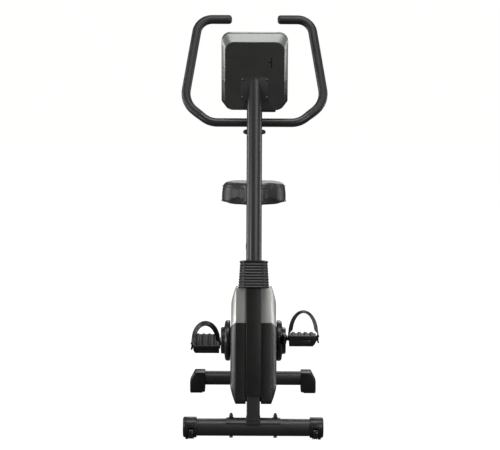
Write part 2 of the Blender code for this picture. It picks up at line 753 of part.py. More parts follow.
def strap_outline(lean):
    """Section of the strap in (x, z); lean draws the arch in, but not its feet."""
    inner = PEDAL_INNER - 0.0005
    outer = PEDAL_OUTER + 0.0005
    wall = 0.0030
    foot = -0.004

    def arch(left, right, peak):
        centre = (left + right) / 2
        half = (right - left) / 2
        turns = [pi * step / 14 for step in range(15)]
        return [(centre + (half - lean * min(1.0, 3 * sin(turn))) * cos(turn),
                 0.020 + (peak - 0.020 - 1.3 * lean) * sin(turn)) for turn in turns]

    outside = arch(inner - wall, outer + wall + 0.004, 0.102)
    inside = arch(inner, outer + 0.004, 0.102 - wall)
    return [(outer + wall, foot), *outside, (inner - wall, foot), (inner, foot), *reversed(inside),
            (outer, foot)]


def make_strap(side, name):
    """Toe strap: a flat band that arches over the pedal and narrows towards the toe."""
    toe = [(side * x, -0.035, z) for x, z in strap_outline(0.009)]
    heel = [(side * x, -0.0085, z) for x, z in strap_outline(0.0)]
    strap = loft([toe, heel])
    place(strap, pedal_matrix(side))
    return finish(strap, name, RUBBER)


# ---- seat ---------------------------------------------------------------


def make_seat_post():
    """Post that slides in the seat tube, with a row of height holes and a top plate."""
    top = on_seat_tube(0.672)
    post = rod(on_seat_tube(0.262), top, SEAT_POST_RADIUS, 20)
    join(post, box((0.044, 0.110, 0.005), (0, top.y + 0.004, SADDLE_BASE_Z - 0.0138)))
    cut(post, box((0.2, 0.2, 0.05), (0, top.y, SADDLE_BASE_Z + 0.0137)))
    for step in range(7):
        spot = on_seat_tube(0.300 + 0.030 * step)
        rear = on_seat_tube(0.300 + 0.030 * step, 0.03)
        cut(post, rod(spot + (rear - spot) * 0.45, rear, 0.0045, 8))
    return finish(post, "seat_post", PAINT)


def make_post_sleeve():
    top = on_seat_tube(SEAT_TUBE_LENGTH)
    sleeve = rod(on_seat_tube(SEAT_TUBE_LENGTH - 0.012), on_seat_tube(SEAT_TUBE_LENGTH + 0.012), 0.0274, 24)
    cut(sleeve, rod(on_seat_tube(SEAT_TUBE_LENGTH - 0.03), top, SEAT_TUBE_RADIUS + GAP, 24))
    cut(sleeve, rod(on_seat_tube(SEAT_TUBE_LENGTH - 0.03), on_seat_tube(SEAT_TUBE_LENGTH + 0.03),
                    SEAT_POST_RADIUS + 0.0006, 24))
    return finish(sleeve, "seat_post_sleeve", BLACK_PLASTIC)


def make_height_pin():
    """Spring knob that locks the height of the seat."""
    along = SEAT_TUBE_LENGTH - 0.055
    stem = rod(on_seat_tube(along, SEAT_TUBE_RADIUS + 0.0006), on_seat_tube(along, 0.040), 0.0080, 16)
    join(stem, rod(on_seat_tube(along, 0.038), on_seat_tube(along, 0.064), 0.0190, 16, 0.0160))
    return finish(stem, "seat_height_pin", BLACK_PLASTIC)


def saddle_plan(scale):
    """Half outline of the saddle seen from above, nose at -Y."""
    points = [(0.0, -0.138), (0.016, -0.135), (0.0235, -0.118), (0.0255, -0.080), (0.0300, -0.045),
              (0.0520, -0.020), (0.0950, 0.004), (0.1170, 0.035), (0.1215, 0.075), (0.112, 0.108),
              (0.078, 0.130), (0.0, 0.136)]
    return [(x * scale, y * scale) for x, y in points]


def saddle_ring(scale, z):
    half = saddle_plan(scale)
    loop = half + [(-x, y) for x, y in reversed(half[1:-1])]
    return [(x, SADDLE_Y + y, z) for x, y in loop]


def make_saddle_pad():
    z = SADDLE_BASE_Z + 0.0125
    rings = [saddle_ring(0.97, z), saddle_ring(1.0, z + 0.010), saddle_ring(0.985, z + 0.030),
             saddle_ring(0.945, z + 0.046), saddle_ring(0.80, z + 0.0545)]
    return finish(loft(rings), "saddle_pad", VINYL, 40)


def make_saddle_pan():
    rings = [saddle_ring(0.78, SADDLE_BASE_Z - 0.0105), saddle_ring(0.93, SADDLE_BASE_Z),
             saddle_ring(0.955, SADDLE_BASE_Z + 0.0122)]
    return finish(loft(rings), "saddle_pan", BLACK_PLASTIC)


# ---- mast, handlebar and console ----------------------------------------


def console_matrix():
    return Matrix.Translation(CONSOLE_CENTRE) @ Matrix.Rotation(CONSOLE_TILT, 4, "X")


def console_box(width, depth, height, x, y, z):
    """A block in console coordinates: y is 0 on the back panel and grows to the rider."""
    return place(box((width, depth, height), (x, y, z)), console_matrix())


def make_mast():
    """Mast tube, cut and welded to the console plate, with the handlebar seat behind."""
    mast = rod(on_post(MAST_START), on_post(1.30), MAST_RADIUS, 24)
    beyond = console_box(0.6, 0.4, 0.6, 0, 0.2 - 0.001, 0)
    cut(mast, beyond)
    join(mast, console_box(0.097, 0.003, 0.084, 0, -0.0018, -0.060))
    seat = box((0.042, 0.040, 0.060), (0, BAR_CENTRE.y - 0.0209, BAR_CENTRE.z - 0.014))
    join(mast, seat)
    left_end = (-0.1, BAR_CENTRE.y, BAR_CENTRE.z)
    right_end = (0.1, BAR_CENTRE.y, BAR_CENTRE.z)
    cut(mast, rod(left_end, right_end, BAR_RADIUS + 0.0008, 24))
    cut(mast, rod(on_post(MAST_START - 0.01), on_post(1.075), MAST_RADIUS - MAST_WALL, 24))
    for x in (-SCREW_X, SCREW_X):
        for z in SCREW_ROWS:
            cut(mast, place(rod((x, -0.02, z), (x, 0.02, z), 0.0023, 10), console_matrix()))
    return finish(mast, "mast", PAINT)


def make_clamp_cap():
    """Clamp half that holds the handlebar on the mast."""
    y = BAR_CENTRE.y
    z = BAR_CENTRE.z
    cap = box((0.042, 0.019, 0.060), (0, y + 0.0103, z - 0.014))
    cut(cap, rod((-0.1, y, z), (0.1, y, z), BAR_RADIUS + 0.0008, 24))
    cut(cap, rod((0, y - 0.05, KNOB_Z), (0, y + 0.05, KNOB_Z), 0.0045, 12))
    return finish(cap, "handlebar_clamp", BLACK_PLASTIC)


def make_clamp_knob():
    """Wide two-lobed knob that tightens the handlebar clamp."""
    y = BAR_CENTRE.y
    knob = rod((0, y + 0.0009, KNOB_Z), (0, y + 0.030, KNOB_Z), 0.0040, 12)
    join(knob, rod((0, y + 0.0205, KNOB_Z), (0, y + 0.050, KNOB_Z), 0.0120, 20))
    for side in (-1, 1):
        inner = (side * -0.004, y + 0.036, KNOB_Z)
        outer = (side * 0.0405, y + 0.036, KNOB_Z)
        join(knob, rod(inner, outer, 0.0125, 12, 0.0090))
    return finish(knob, "clamp_knob", BLACK_PLASTIC)


def bar_point(across, up):
    """A point in the tilted plane of the handlebar."""
    return Vector((across, BAR_CENTRE.y + up * sin(BAR_TILT), BAR_CENTRE.z + up * cos(BAR_TILT)))


def bar_path():
    """Centre line of the handlebar from the middle to the right-hand grip end."""
    corners = [(0.0, 0.0), (0.158, 0.0), (0.2495, 0.0735), (0.2000, 0.3880), (0.0830, 0.3880)]
    return rounded(corners, [0, 0.078, 0.085, 0.056, 0], 4, closed=False)


def make_handlebar():
    half = bar_path()
    whole = [(-x, up) for x, up in reversed(half[1:])] + half
    bar = bar_along([bar_point(x, up) for x, up in whole], BAR_RADIUS)
    return finish(bar, "handlebar", BAR_PAINT, 50)


def make_grip(side, name):
    """Sleeve over one arm of the handlebar, closed and rounded at its end."""
    path = [bar_point(side * x, up) for x, up in bar_path()]
    start = next(index for index, point in enumerate(path) if abs(point.x) > 0.17)
    route = path[start:]
    tip = route[-1] + (route[-1] - route[-2]).normalized() * 0.004
    grip = bar_along([*route, tip], GRIP_RADIUS)
    bore = bar_along([path[start - 1], *route[:-1], route[-1] + (tip - route[-1]) * 0.1], GRIP_BORE)
    cut(grip, bore)
    return finish(grip, name, FOAM, 50)


def console_outline(shrink, top_drop):
    """Outline of the console in (x, z), counter-clockwise, with cut lower corners."""
    w = CONSOLE_HALF_WIDTH - shrink
    h = CONSOLE_HALF_HEIGHT
    top = h - top_drop
    low = -h
    corners = [(-w + 0.021, low), (w - 0.021, low), (w, low + 0.028), (w, top), (-w, top),
               (-w, low + 0.028)]
    return rounded(corners, [0.008, 0.008, 0.008, 0.030, 0.030, 0.008], 3)


def console_ring(shrink, top_drop, depth, squeeze=1.0):
    return [(x * squeeze, depth, z * squeeze) for x, z in console_outline(shrink, top_drop)]


def make_console_front():
    """Grey housing with bevelled edges, the display face towards the rider."""
    shell = loft([console_ring(0.0120, 0.0330, 0.0), console_ring(0.0, 0.0, 0.024),
                  console_ring(0.0, 0.0, 0.046), console_ring(0.0, 0.0, CONSOLE_DEPTH, 0.955)])
    cavity = loft([console_ring(0.0150, 0.0355, -0.01, 0.985), console_ring(0.0150, 0.0355, 0.004, 0.985),
                   console_ring(0.004, 0.006, 0.026, 0.975), console_ring(0.004, 0.006, 0.0515, 0.950)])
    cut(shell, cavity)
    cut(shell, box((0.152, 0.05, 0.092), (0, CONSOLE_DEPTH, 0.040)))
    for x in BUTTON_ROW:
        cut(shell, rod((x, 0.03, BUTTON_Z), (x, 0.08, BUTTON_Z), 0.0108, 16))
    lip = box((0.060, 0.020, 0.013), (0.045, 0.035, -CONSOLE_HALF_HEIGHT - 0.004))
    join(shell, lip)
    return finish(place(shell, console_matrix()), "console_housing", GREY_PLASTIC)


def make_console_back():
    """Flat black cover let into the back of the console."""
    panel = loft([console_ring(0.0153, 0.0358, 0.0, 0.985), console_ring(0.0153, 0.0358, 0.0025, 0.985)])
    for x in (-SCREW_X, SCREW_X):
        for z in SCREW_ROWS:
            cut(panel, rod((x, -0.02, z), (x, 0.02, z), 0.0023, 10))
    latch = box((0.006, 0.02, 0.018), (0.052, 0, 0.036))
    cut(panel, latch)
    return finish(place(panel, console_matrix()), "console_back_cover", BLACK_PLASTIC)


def make_console_lens():
    lens = box((0.1514, 0.0035, 0.0914), (0, CONSOLE_DEPTH - 0.0020, 0.040))
    return finish(place(lens, console_matrix()), "display_lens", LENS)


def make_console_board():
    board = box((0.160, 0.0016, 0.170), (0, 0.030, 0.010))
    return finish(place(board, console_matrix()), "console_board", BOARD)


def make_button(x, name):
    stem = rod((x, CONSOLE_DEPTH - 0.016, BUTTON_Z), (x, CONSOLE_DEPTH + 0.0015, BUTTON_Z), 0.0100, 16)
    return finish(place(stem, console_matrix()), name, BUTTON)


def make_console_screw(x, z, name):
    screw = rod((x, -0.0055, z), (x, -0.0037, z), 0.0030, 10, 0.0042)
    join(screw, rod((x, -0.0045, z), (x, 0.0080, z), 0.0018, 8))
    return finish(place(screw, console_matrix()), name, BOLT_STEEL)


# ---- build --------------------------------------------------------------

clear_scene()
PARTS = make_collection("exercise_bike")

PAINT = make_material("satin_dark_paint", (0.045, 0.045, 0.044), 0.42, 0.2)
BAR_PAINT = make_material("bar_paint", (0.040, 0.040, 0.039), 0.38, 0.2)
BLACK_PLASTIC = make_material("black_plastic", (0.018, 0.018, 0.017), 0.50)
GREY_PLASTIC = make_material("silver_grey_plastic", (0.36, 0.36, 0.345), 0.35, 0.3)
RUBBER = make_material("black_rubber", (0.020, 0.020, 0.019), 0.55)
FOAM = make_material("dark_grip", (0.022, 0.022, 0.021), 0.70)
VINYL = make_material("black_vinyl", (0.020, 0.020, 0.019), 0.50)
BOLT_STEEL = make_material("dark_zinc_steel", (0.20, 0.20, 0.20), 0.35, 1.0)
CRANK_STEEL = make_material("black_crank", (0.030, 0.030, 0.030), 0.40, 0.5)
CAST_IRON = make_material("cast_iron", (0.12, 0.12, 0.12), 0.60, 1.0)
ZINC = make_material("zinc_plate", (0.45, 0.45, 0.44), 0.35, 1.0)
WHEEL_PLASTIC = make_material("wheel_plastic", (0.015, 0.015, 0.015), 0.35)
LENS = make_material("display_window", (0.05, 0.06, 0.055), 0.08)
BOARD = make_material("circuit_board", (0.02, 0.12, 0.05), 0.50)
BUTTON = make_material("button_rubber", (0.30, 0.30, 0.30), 0.60)

make_main_frame()
make_stabilizer("front_stabilizer", FRONT_Y, FRONT_AXIS_Z, FRONT_RADIUS, 0.2032)
make_stabilizer("rear_stabilizer", REAR_Y, REAR_AXIS_Z, REAR_RADIUS, 0.2155)
make_shroud()
make_inlet()
make_post_cover()
make_bellows()
make_flywheel()
make_flywheel_axle()
make_brake_bracket()
make_servo()
make_pulley()
make_belt()
make_axle()
make_seat_post()
make_post_sleeve()
make_height_pin()
make_saddle_pad()
make_saddle_pan()
make_mast()
make_clamp_cap()
make_clamp_knob()
make_handlebar()
make_console_front()
make_console_back()
make_console_lens()
make_console_board()
mirrored(make_front_cap(), "front_cap_right")
mirrored(make_rear_foot(), "rear_foot_right")

for side, label in ((1, "left"), (-1, "right")):
    make_front_bolt(side, f"front_bolt_{label}")
    make_wheel(side, f"transport_wheel_{label}")
    make_bearing(side, f"crank_bearing_{label}")
    make_crank_arm(side, f"crank_arm_{label}")
    make_crank_cover(side, f"crank_cover_{label}")
    make_spindle(side, f"pedal_spindle_{label}")
    make_pedal(side, f"pedal_{label}")
    make_strap(side, f"pedal_strap_{label}")
    make_grip(side, f"grip_{label}")
    for z, level in zip(SCREW_ROWS, ("upper", "lower")):
        make_console_screw(side * SCREW_X, z, f"console_screw_{level}_{label}")

for x, label in zip(BUTTON_ROW, ("down", "enter", "up")):
    make_button(x, f"button_{label}")
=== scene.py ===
"""Looks of the upright exercise bike, built round its solid model."""
from math import acos, cos, pi, radians, sin, tan

import bmesh
import bpy
from mathutils import Matrix, Vector


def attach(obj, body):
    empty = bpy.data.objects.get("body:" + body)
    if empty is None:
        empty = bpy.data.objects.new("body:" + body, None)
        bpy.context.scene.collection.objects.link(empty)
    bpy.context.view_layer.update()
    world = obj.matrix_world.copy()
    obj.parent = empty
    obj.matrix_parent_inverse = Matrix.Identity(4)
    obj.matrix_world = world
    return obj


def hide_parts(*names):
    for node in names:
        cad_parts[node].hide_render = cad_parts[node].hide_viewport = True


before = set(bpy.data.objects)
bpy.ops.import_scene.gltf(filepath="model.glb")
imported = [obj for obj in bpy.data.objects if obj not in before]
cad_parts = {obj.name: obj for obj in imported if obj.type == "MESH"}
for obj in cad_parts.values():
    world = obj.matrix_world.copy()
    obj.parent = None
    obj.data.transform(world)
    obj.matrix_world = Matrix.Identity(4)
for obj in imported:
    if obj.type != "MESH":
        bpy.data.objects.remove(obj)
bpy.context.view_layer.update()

# ---- dimensions of the design, in metres --------------------------------
LEAN = radians(12)
POST_UP = Vector((0, sin(LEAN), cos(LEAN)))
POST_FRONT = Vector((0, -cos(LEAN), sin(LEAN)))
POST_BASE = Vector((0, -0.39, 0.066))
POST_WIDTH = 0.046
MAST_RADIUS = 0.027
SEAT_LEAN = radians(24)
SEAT_UP = Vector((0, sin(SEAT_LEAN), cos(SEAT_LEAN)))
SEAT_REAR = Vector((0, cos(SEAT_LEAN), -sin(SEAT_LEAN)))
SEAT_BASE = Vector((0, -0.035, 0.120))
SEAT_TUBE_LENGTH = 0.520
SADDLE_Y = 0.252
SADDLE_BASE_Z = 0.7545
PAD_Z = SADDLE_BASE_Z + 0.0045
FRONT_Y = -0.39
FRONT_Z = 0.038
FRONT_RADIUS = 0.030
REAR_Y = 0.39
REAR_Z = 0.053
REAR_RADIUS = 0.027
CRANK_CENTRE = Vector((0, -0.010, 0.273))
CRANK_LENGTH = 0.170
FLYWHEEL_CENTRE = Vector((0, -0.195, 0.270))
BRAKE_PIVOT = Vector((0, -0.2865, 0.3600))
CRANK_ANGLE = radians(13.5)
SHROUD_FRONT = 0.022
SHROUD_TOP = 0.461
SHROUD_FACE_HALF = 0.061
SHROUD_HALF = 0.078
SHROUD_MIDDLE = Vector((-0.110, 0.300))
COVER_SCREWS = ((-0.315, 0.165), (-0.265, 0.335), (-0.02, 0.155), (0.115, 0.235), (0.070, 0.345))
COLLAR_START = 0.4545
BAR_RADIUS = 0.0155
PLAY = 0.0004
GRIP_RADIUS = 0.0162
BAR_TILT = radians(22)
BAR_CENTRE = Vector((0, -0.128, 1.075))
CONSOLE_TILT = radians(8.9)
CONSOLE_CENTRE = Vector((0, -0.1710, 1.2533))
CONSOLE_SEAM = -0.031
CONSOLE_HALF_WIDTH = 0.1165
CONSOLE_HALF_HEIGHT = 0.1345
CONSOLE_DEPTH = 0.056
DISPLAY_Z = 0.040
KEY_Z = -0.048
KEYS = ((-0.045, "down"), (0.0, "enter"), (0.045, "up"))
PEDAL_INNER = 0.1265
PEDAL_OUTER = 0.2225
RIGHT_PEDAL_TILT = radians(22)

# ---- materials ----------------------------------------------------------


def shader_nodes(name):
    material = bpy.data.materials.new(name)
    material.use_nodes = True
    tree = material.node_tree
    return material, tree, tree.nodes["Principled BSDF"]


def add_node(tree, kind, values, links):
    """A shader node with some inputs set to values and others linked to outputs."""
    node = tree.nodes.new(kind)
    for name, value in values.items():
        node.inputs[name].default_value = value
    for name, source in links.items():
        tree.links.new(source, node.inputs[name])
    return node


def noise(tree, scale, detail=4.0, rough=0.55, stretch=None):
    """Noise in object space; stretch makes it run along an axis."""
    source = tree.nodes.new("ShaderNodeTexCoord").outputs["Object"]
    if stretch:
        mapping = add_node(tree, "ShaderNodeMapping", {"Scale": stretch}, {"Vector": source})
        source = mapping.outputs["Vector"]
    values = {"Scale": scale, "Detail": detail, "Roughness": rough}
    return add_node(tree, "ShaderNodeTexNoise", values, {"Vector": source}).outputs["Fac"]


def ramp(tree, source, low, high):
    """Colour that runs from low to high with a noise value."""
    band = add_node(tree, "ShaderNodeValToRGB", {}, {"Fac": source})
    for element, position, colour in zip(band.color_ramp.elements, (0.35, 0.65), (low, high)):
        element.position = position
        element.color = (*colour, 1)
    return band.outputs["Color"]


def spread(tree, source, low, high):
    """Map a noise value to a range of numbers."""
    values = {"From Min": 0.3, "From Max": 0.7, "To Min": low, "To Max": high}
    return add_node(tree, "ShaderNodeMapRange", values, {"Value": source}).outputs["Result"]


def bump(tree, shader, source, strength, distance, under=None):
    """Raise the surface by a height value, on top of a coarser bump if there is one."""
    links = {"Height": source, "Normal": under} if under else {"Height": source}
    normal = add_node(tree, "ShaderNodeBump", {"Strength": strength, "Distance": distance}, links)
    tree.links.new(normal.outputs["Normal"], shader.inputs["Normal"])
    return normal.outputs["Normal"]


def surface(name, colour, roughness, grain, depth, metallic=0.0, coat=0.0, tint=0.15, stretch=None):
    """A finish with a slight change of tone, uneven gloss and a fine grain."""
    material, tree, shader = shader_nodes(name)
    cloud = noise(tree, 9.0, 6.0)
    low = tuple(channel * (1 - tint) for channel in colour)
    high = tuple(min(1.0, channel * (1 + tint)) for channel in colour)
    tree.links.new(ramp(tree, cloud, low, high), shader.inputs["Base Color"])
    scuff = noise(tree, 38.0, 8.0, 0.7)
    tree.links.new(spread(tree, scuff, roughness * 0.88, roughness * 1.14), shader.inputs["Roughness"])
    shader.inputs["Metallic"].default_value = metallic
    shader.inputs["Coat Weight"].default_value = coat
    shader.inputs["Coat Roughness"].default_value = 0.25
    soft = bump(tree, shader, noise(tree, grain * 0.18, 2.0, 0.5, stretch), 0.35, depth)
    bump(tree, shader, noise(tree, grain, 3.0, 0.6, stretch), 0.55, depth, soft)
    return material


def leather(name, colour):
    """Vinyl with small cells and faint creases."""
    material, tree, shader = shader_nodes(name)
    low = tuple(channel * 0.85 for channel in colour)
    high = tuple(channel * 1.20 for channel in colour)
    tree.links.new(ramp(tree, noise(tree, 14.0, 5.0), low, high), shader.inputs["Base Color"])
    tree.links.new(spread(tree, noise(tree, 60.0), 0.38, 0.48), shader.inputs["Roughness"])
    place = tree.nodes.new("ShaderNodeTexCoord")
    cells = add_node(tree, "ShaderNodeTexVoronoi", {"Scale": 620.0}, {"Vector": place.outputs["Object"]})
    cells.feature = "DISTANCE_TO_EDGE"
    first = bump(tree, shader, cells.outputs["Distance"], 0.20, 0.0003)
    bump(tree, shader, noise(tree, 55.0, 3.0), 0.10, 0.0004, first)
    return material


def display(name):
    """Dark glass with a faint mottle and a fine grain."""
    material, tree, shader = shader_nodes(name)
    shader.inputs["Roughness"].default_value = 0.12
    shader.inputs["Coat Weight"].default_value = 0.6
    tone = ramp(tree, noise(tree, 30.0, 3.0), (0.010, 0.013, 0.012), (0.016, 0.020, 0.018))
    tree.links.new(tone, shader.inputs["Base Color"])
    bump(tree, shader, noise(tree, 700.0), 0.05, 0.0001)
    return material


def make_materials():
    return {
        "paint": surface("satin_dark_paint", (0.019, 0.019, 0.0185), 0.40, 1400, 0.00008, coat=0.10),
        "bar": surface("bar_paint", (0.013, 0.013, 0.0125), 0.34, 1500, 0.00006, coat=0.20),
        "grip": surface("dark_grip", (0.012, 0.012, 0.0115), 0.46, 1700, 0.00016),
        "black": surface("black_plastic", (0.0075, 0.0075, 0.007), 0.34, 1900, 0.00012),
        "front": surface("console_grey", (0.060, 0.061, 0.058), 0.42, 2000, 0.00006),
        "back": surface("console_black", (0.019, 0.019, 0.018), 0.50, 2200, 0.00014),
        "grey": surface("silver_grey_plastic", (0.41, 0.41, 0.395), 0.36, 1800, 0.00004, metallic=0.60,
                        coat=0.10, tint=0.04),
        "bezel": surface("bezel_silver", (0.21, 0.22, 0.21), 0.34, 1800, 0.00003, metallic=0.35, coat=0.10,
                         tint=0.04),
        "rubber": surface("black_rubber", (0.008, 0.0077, 0.0073), 0.42, 1500, 0.00012),
        "guard": surface("guard_black", (0.012, 0.012, 0.0115), 0.27, 1500, 0.00005),
        "tread": surface("tread_black", (0.004, 0.004, 0.0038), 0.50, 1500, 0.0001),
        "vinyl": leather("black_vinyl", (0.024, 0.024, 0.0225)),
        "thread": surface("stitching", (0.040, 0.040, 0.038), 0.70, 2500, 0.00016),
        "steel": surface("dark_zinc_steel", (0.12, 0.12, 0.115), 0.32, 900, 0.00006, metallic=1.0,
                         tint=0.2, stretch=(1, 8, 8)),
        "crank": surface("black_crank", (0.012, 0.012, 0.0115), 0.32, 1500, 0.00006, coat=0.2),
        "iron": surface("cast_iron", (0.11, 0.11, 0.105), 0.50, 600, 0.00030, metallic=1.0),
        "zinc": surface("zinc_plate", (0.42, 0.42, 0.40), 0.34, 300, 0.00008, metallic=1.0, tint=0.25),
        "wheel": surface("wheel_plastic", (0.007, 0.007, 0.007), 0.24, 1200, 0.00005, coat=0.3),
        "glass": display("display_window"),
        "board": surface("circuit_board", (0.015, 0.10, 0.04), 0.40, 400, 0.00010),
        "button": surface("button_rubber", (0.20, 0.20, 0.195), 0.55, 1500, 0.00008),
        "print": surface("pale_print", (0.50, 0.51, 0.50), 0.50, 1500, 0.00004),
        "void": surface("dark_recess", (0.003, 0.003, 0.003), 0.90, 900, 0.00008),
    }


# ---- shape helpers ------------------------------------------------------


def link(name, mesh):
    piece = bpy.data.objects.new(name, mesh)
    bpy.context.scene.collection.objects.link(piece)
    return piece


def from_bmesh(shape):
    bmesh.ops.recalc_face_normals(shape, faces=shape.faces)
    mesh = bpy.data.meshes.new("shape")
    shape.to_mesh(mesh)
    shape.free()
    return link("shape", mesh)


def bake(piece):
    bpy.context.view_layer.update()
    graph = bpy.context.evaluated_depsgraph_get()
    mesh = bpy.data.meshes.new_from_object(piece.evaluated_get(graph))
    piece.modifiers.clear()
    piece.data = mesh
    return piece


def softened(piece, width, segments=3, angle=35):
    """Round the sharp edges of a piece."""
    bevel = piece.modifiers.new("soft", "BEVEL")
    bevel.width = width
    bevel.segments = segments
    bevel.limit_method = "ANGLE"
    bevel.angle_limit = radians(angle)
    bevel.use_clamp_overlap = True
    return bake(piece)


def boolean(piece, tool, operation):
    modifier = piece.modifiers.new("op", "BOOLEAN")
    modifier.operation = operation
    modifier.object = tool
    modifier.solver = "EXACT"
    bake(piece)
    bpy.data.objects.remove(tool, do_unlink=True)
    return piece


def cut(piece, *tools):
    for tool in tools:
        boolean(piece, tool, "DIFFERENCE")
    return piece


def join(piece, *tools):
    for tool in tools:
        boolean(piece, tool, "UNION")
    return piece


def box(size, centre, turn=0.0):
    shape = bmesh.new()
    bmesh.ops.create_cube(shape, size=1.0)
    place = Matrix.Translation(centre) @ Matrix.Rotation(turn, 4, "X") @ Matrix.Diagonal((*size, 1.0))
    bmesh.ops.transform(shape, matrix=place, verts=shape.verts)
    return from_bmesh(shape)


def rod(start, end, radius, sides=64, end_radius=None):
    start = Vector(start)
    end = Vector(end)
    run = end - start
    shape = bmesh.new()
    last = radius if end_radius is None else end_radius
    bmesh.ops.create_cone(shape, cap_ends=True, segments=sides, radius1=radius, radius2=last,
                          depth=run.length)
    place = Matrix.Translation((start + end) / 2) @ run.to_track_quat("Z", "Y").to_matrix().to_4x4()
    bmesh.ops.transform(shape, matrix=place, verts=shape.verts)
    return from_bmesh(shape)


def crossbar(centre, reach, radius, sides=64):
    """A round bar along X that reaches the same way to both sides of its centre."""
    half = Vector((reach, 0, 0))
    return rod(Vector(centre) - half, Vector(centre) + half, radius, sides)


def loft(rings):
    """A closed solid through rings with equal numbers of points."""
    shape = bmesh.new()
    rows = [[shape.verts.new(point) for point in ring] for ring in rings]
    for lower, upper in zip(rows, rows[1:]):
        for index in range(len(lower)):
            after = (index + 1) % len(lower)
            shape.faces.new((lower[index], lower[after], upper[after], upper[index]))
    shape.faces.new(rows[0])
    shape.faces.new(rows[-1])
    return from_bmesh(shape)


def spun(profile, sides=96):
    """Turn an (along, radius) profile about the X axis into a closed ring or solid."""
    loops = []
    for step in range(sides):
        turn = 2 * pi * step / sides
        loops.append([(along, radius * cos(turn), radius * sin(turn)) for along, radius in profile])
    shape = bmesh.new()
    rows = [[shape.verts.new(point) for point in ring] for ring in loops]
    count = len(profile)
    for index, row in enumerate(rows):
        ahead = rows[(index + 1) % sides]
        for step in range(count):
            after = (step + 1) % count
            shape.faces.new((row[step], row[after], ahead[after], ahead[step]))
    bmesh.ops.remove_doubles(shape, verts=shape.verts, dist=0.000001)
    bmesh.ops.dissolve_degenerate(shape, edges=shape.edges, dist=0.0000001)
    return from_bmesh(shape)


def prism(outline, low_x, high_x):
    """Extrude a (y, z) outline along X."""
    return loft([[(x, y, z) for y, z in outline] for x in (low_x, high_x)])


def sweep(points, radii, sides=32):
    """A round bar along points, with a radius for each."""
    rings = []
    up = Vector((0, 0, 1))
    for index, point in enumerate(points):
        ahead = points[min(index + 1, len(points) - 1)] - points[max(index - 1, 0)]
        heading = ahead.normalized()
        side = heading.cross(up)
        if side.length < 0.05:
            side = heading.cross(Vector((0, 1, 0)))
        side.normalize()
        if rings and side.dot(last_side) < 0:
            side = -side
        last_side = side
        over = side.cross(heading)
        rings.append([point + (side * cos(2 * pi * k / sides) + over * sin(2 * pi * k / sides)) * radii[index]
                      for k in range(sides)])
    return loft(rings)


def wedge(triangle, span):
    """A three-sided bar along Y over three (x, z) points, to take off an edge."""
    return loft([[(x, y, z) for x, z in triangle] for y in span])


def arc(centre, radius, start, end, steps):
    turns = [start + (end - start) * step / steps for step in range(steps + 1)]
    return [(centre[0] + radius * cos(turn), centre[1] + radius * sin(turn)) for turn in turns]


def rounded(corners, radii, steps=8, closed=True):
    """Round the corners of a flat outline with arcs."""
    outline = []
    count = len(corners)
    for index, radius in enumerate(radii):
        corner = Vector(corners[index])
        if radius == 0 or (not closed and index in (0, count - 1)):
            outline.append(tuple(corner))
            continue
        back = (Vector(corners[index - 1]) - corner).normalized()
        ahead = (Vector(corners[(index + 1) % count]) - corner).normalized()
        half = acos(max(-1.0, min(1.0, back.dot(ahead)))) / 2
        centre = corner + (back + ahead).normalized() * radius / sin(half)
        first = corner + back * radius / tan(half) - centre
        sweep_angle = first.angle_signed(corner + ahead * radius / tan(half) - centre)
        for step in range(steps + 1):
            spoke = first.copy()
            spoke.rotate(Matrix.Rotation(-sweep_angle * step / steps, 2))
            outline.append(tuple(centre + spoke))
    return outline


def inset(outline, amount):
    moved = []
    for index, point in enumerate(outline):
        before = Vector(outline[index - 1])
        after = Vector(outline[(index + 1) % len(outline)])
        run = (after - before).normalized()
        moved.append((point[0] - run.y * amount, point[1] + run.x * amount))
    return moved


def placed(piece, matrix):
    piece.data.transform(matrix)
    return piece


def twin_of(piece):
    twin = piece.copy()
    twin.data = piece.data.copy()
    bpy.context.scene.collection.objects.link(twin)
    return twin


def mirrored(piece):
    twin = twin_of(piece)
    twin.data.transform(Matrix.Diagonal((-1, 1, 1, 1)))
    twin.data.flip_normals()
    return twin


def show(piece, name, material, body, nodes=(), crease=32):
    """Finish a piece: name, material, smooth shading, the body it rides on and the nodes it stands for."""
    piece.name = name
    piece.data.name = name
    piece.data.materials.clear()
    piece.data.materials.append(MATERIALS[material])
    piece.data.shade_smooth()
    piece.data.set_sharp_from_angle(angle=radians(crease))
    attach(piece, body)
    if nodes:
        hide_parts(*nodes)
    return piece


def painted(piece, name, nodes=()):
    """A painted piece of the frame."""
    return show(piece, name, "paint", "frame", nodes)


def on_side(piece, side):
    """The piece itself for the left side, or its mirror image for the right."""
    if side > 0:
        return piece
    twin = mirrored(piece)
    bpy.data.objects.remove(piece, do_unlink=True)
    return twin


def on_post(along, forward=0.0, across=0.0):
    return POST_BASE + POST_UP * along + POST_FRONT * forward + Vector((across, 0, 0))


def on_seat_tube(along, back=0.0):
    return SEAT_BASE + SEAT_UP * along + SEAT_REAR * back


def post_box(width, depth, start, end, forward=0.0):
    return box((width, depth, end - start), on_post((start + end) / 2, forward), -LEAN)


def console_matrix():
    return Matrix.Translation(CONSOLE_CENTRE) @ Matrix.Rotation(CONSOLE_TILT, 4, "X")


def pedal_centre(side):
    reach = Vector((0, -cos(CRANK_ANGLE), sin(CRANK_ANGLE))) * CRANK_LENGTH
    return CRANK_CENTRE + reach * side


def pedal_matrix(side):
    turn = RIGHT_PEDAL_TILT if side < 0 else 0.0
    return Matrix.Translation(pedal_centre(side)) @ Matrix.Rotation(turn, 4, "X")


# ---- camera, light and floor --------------------------------------------

HORIZON_LIGHT = 0.05
ZENITH_LIGHT = 0.24


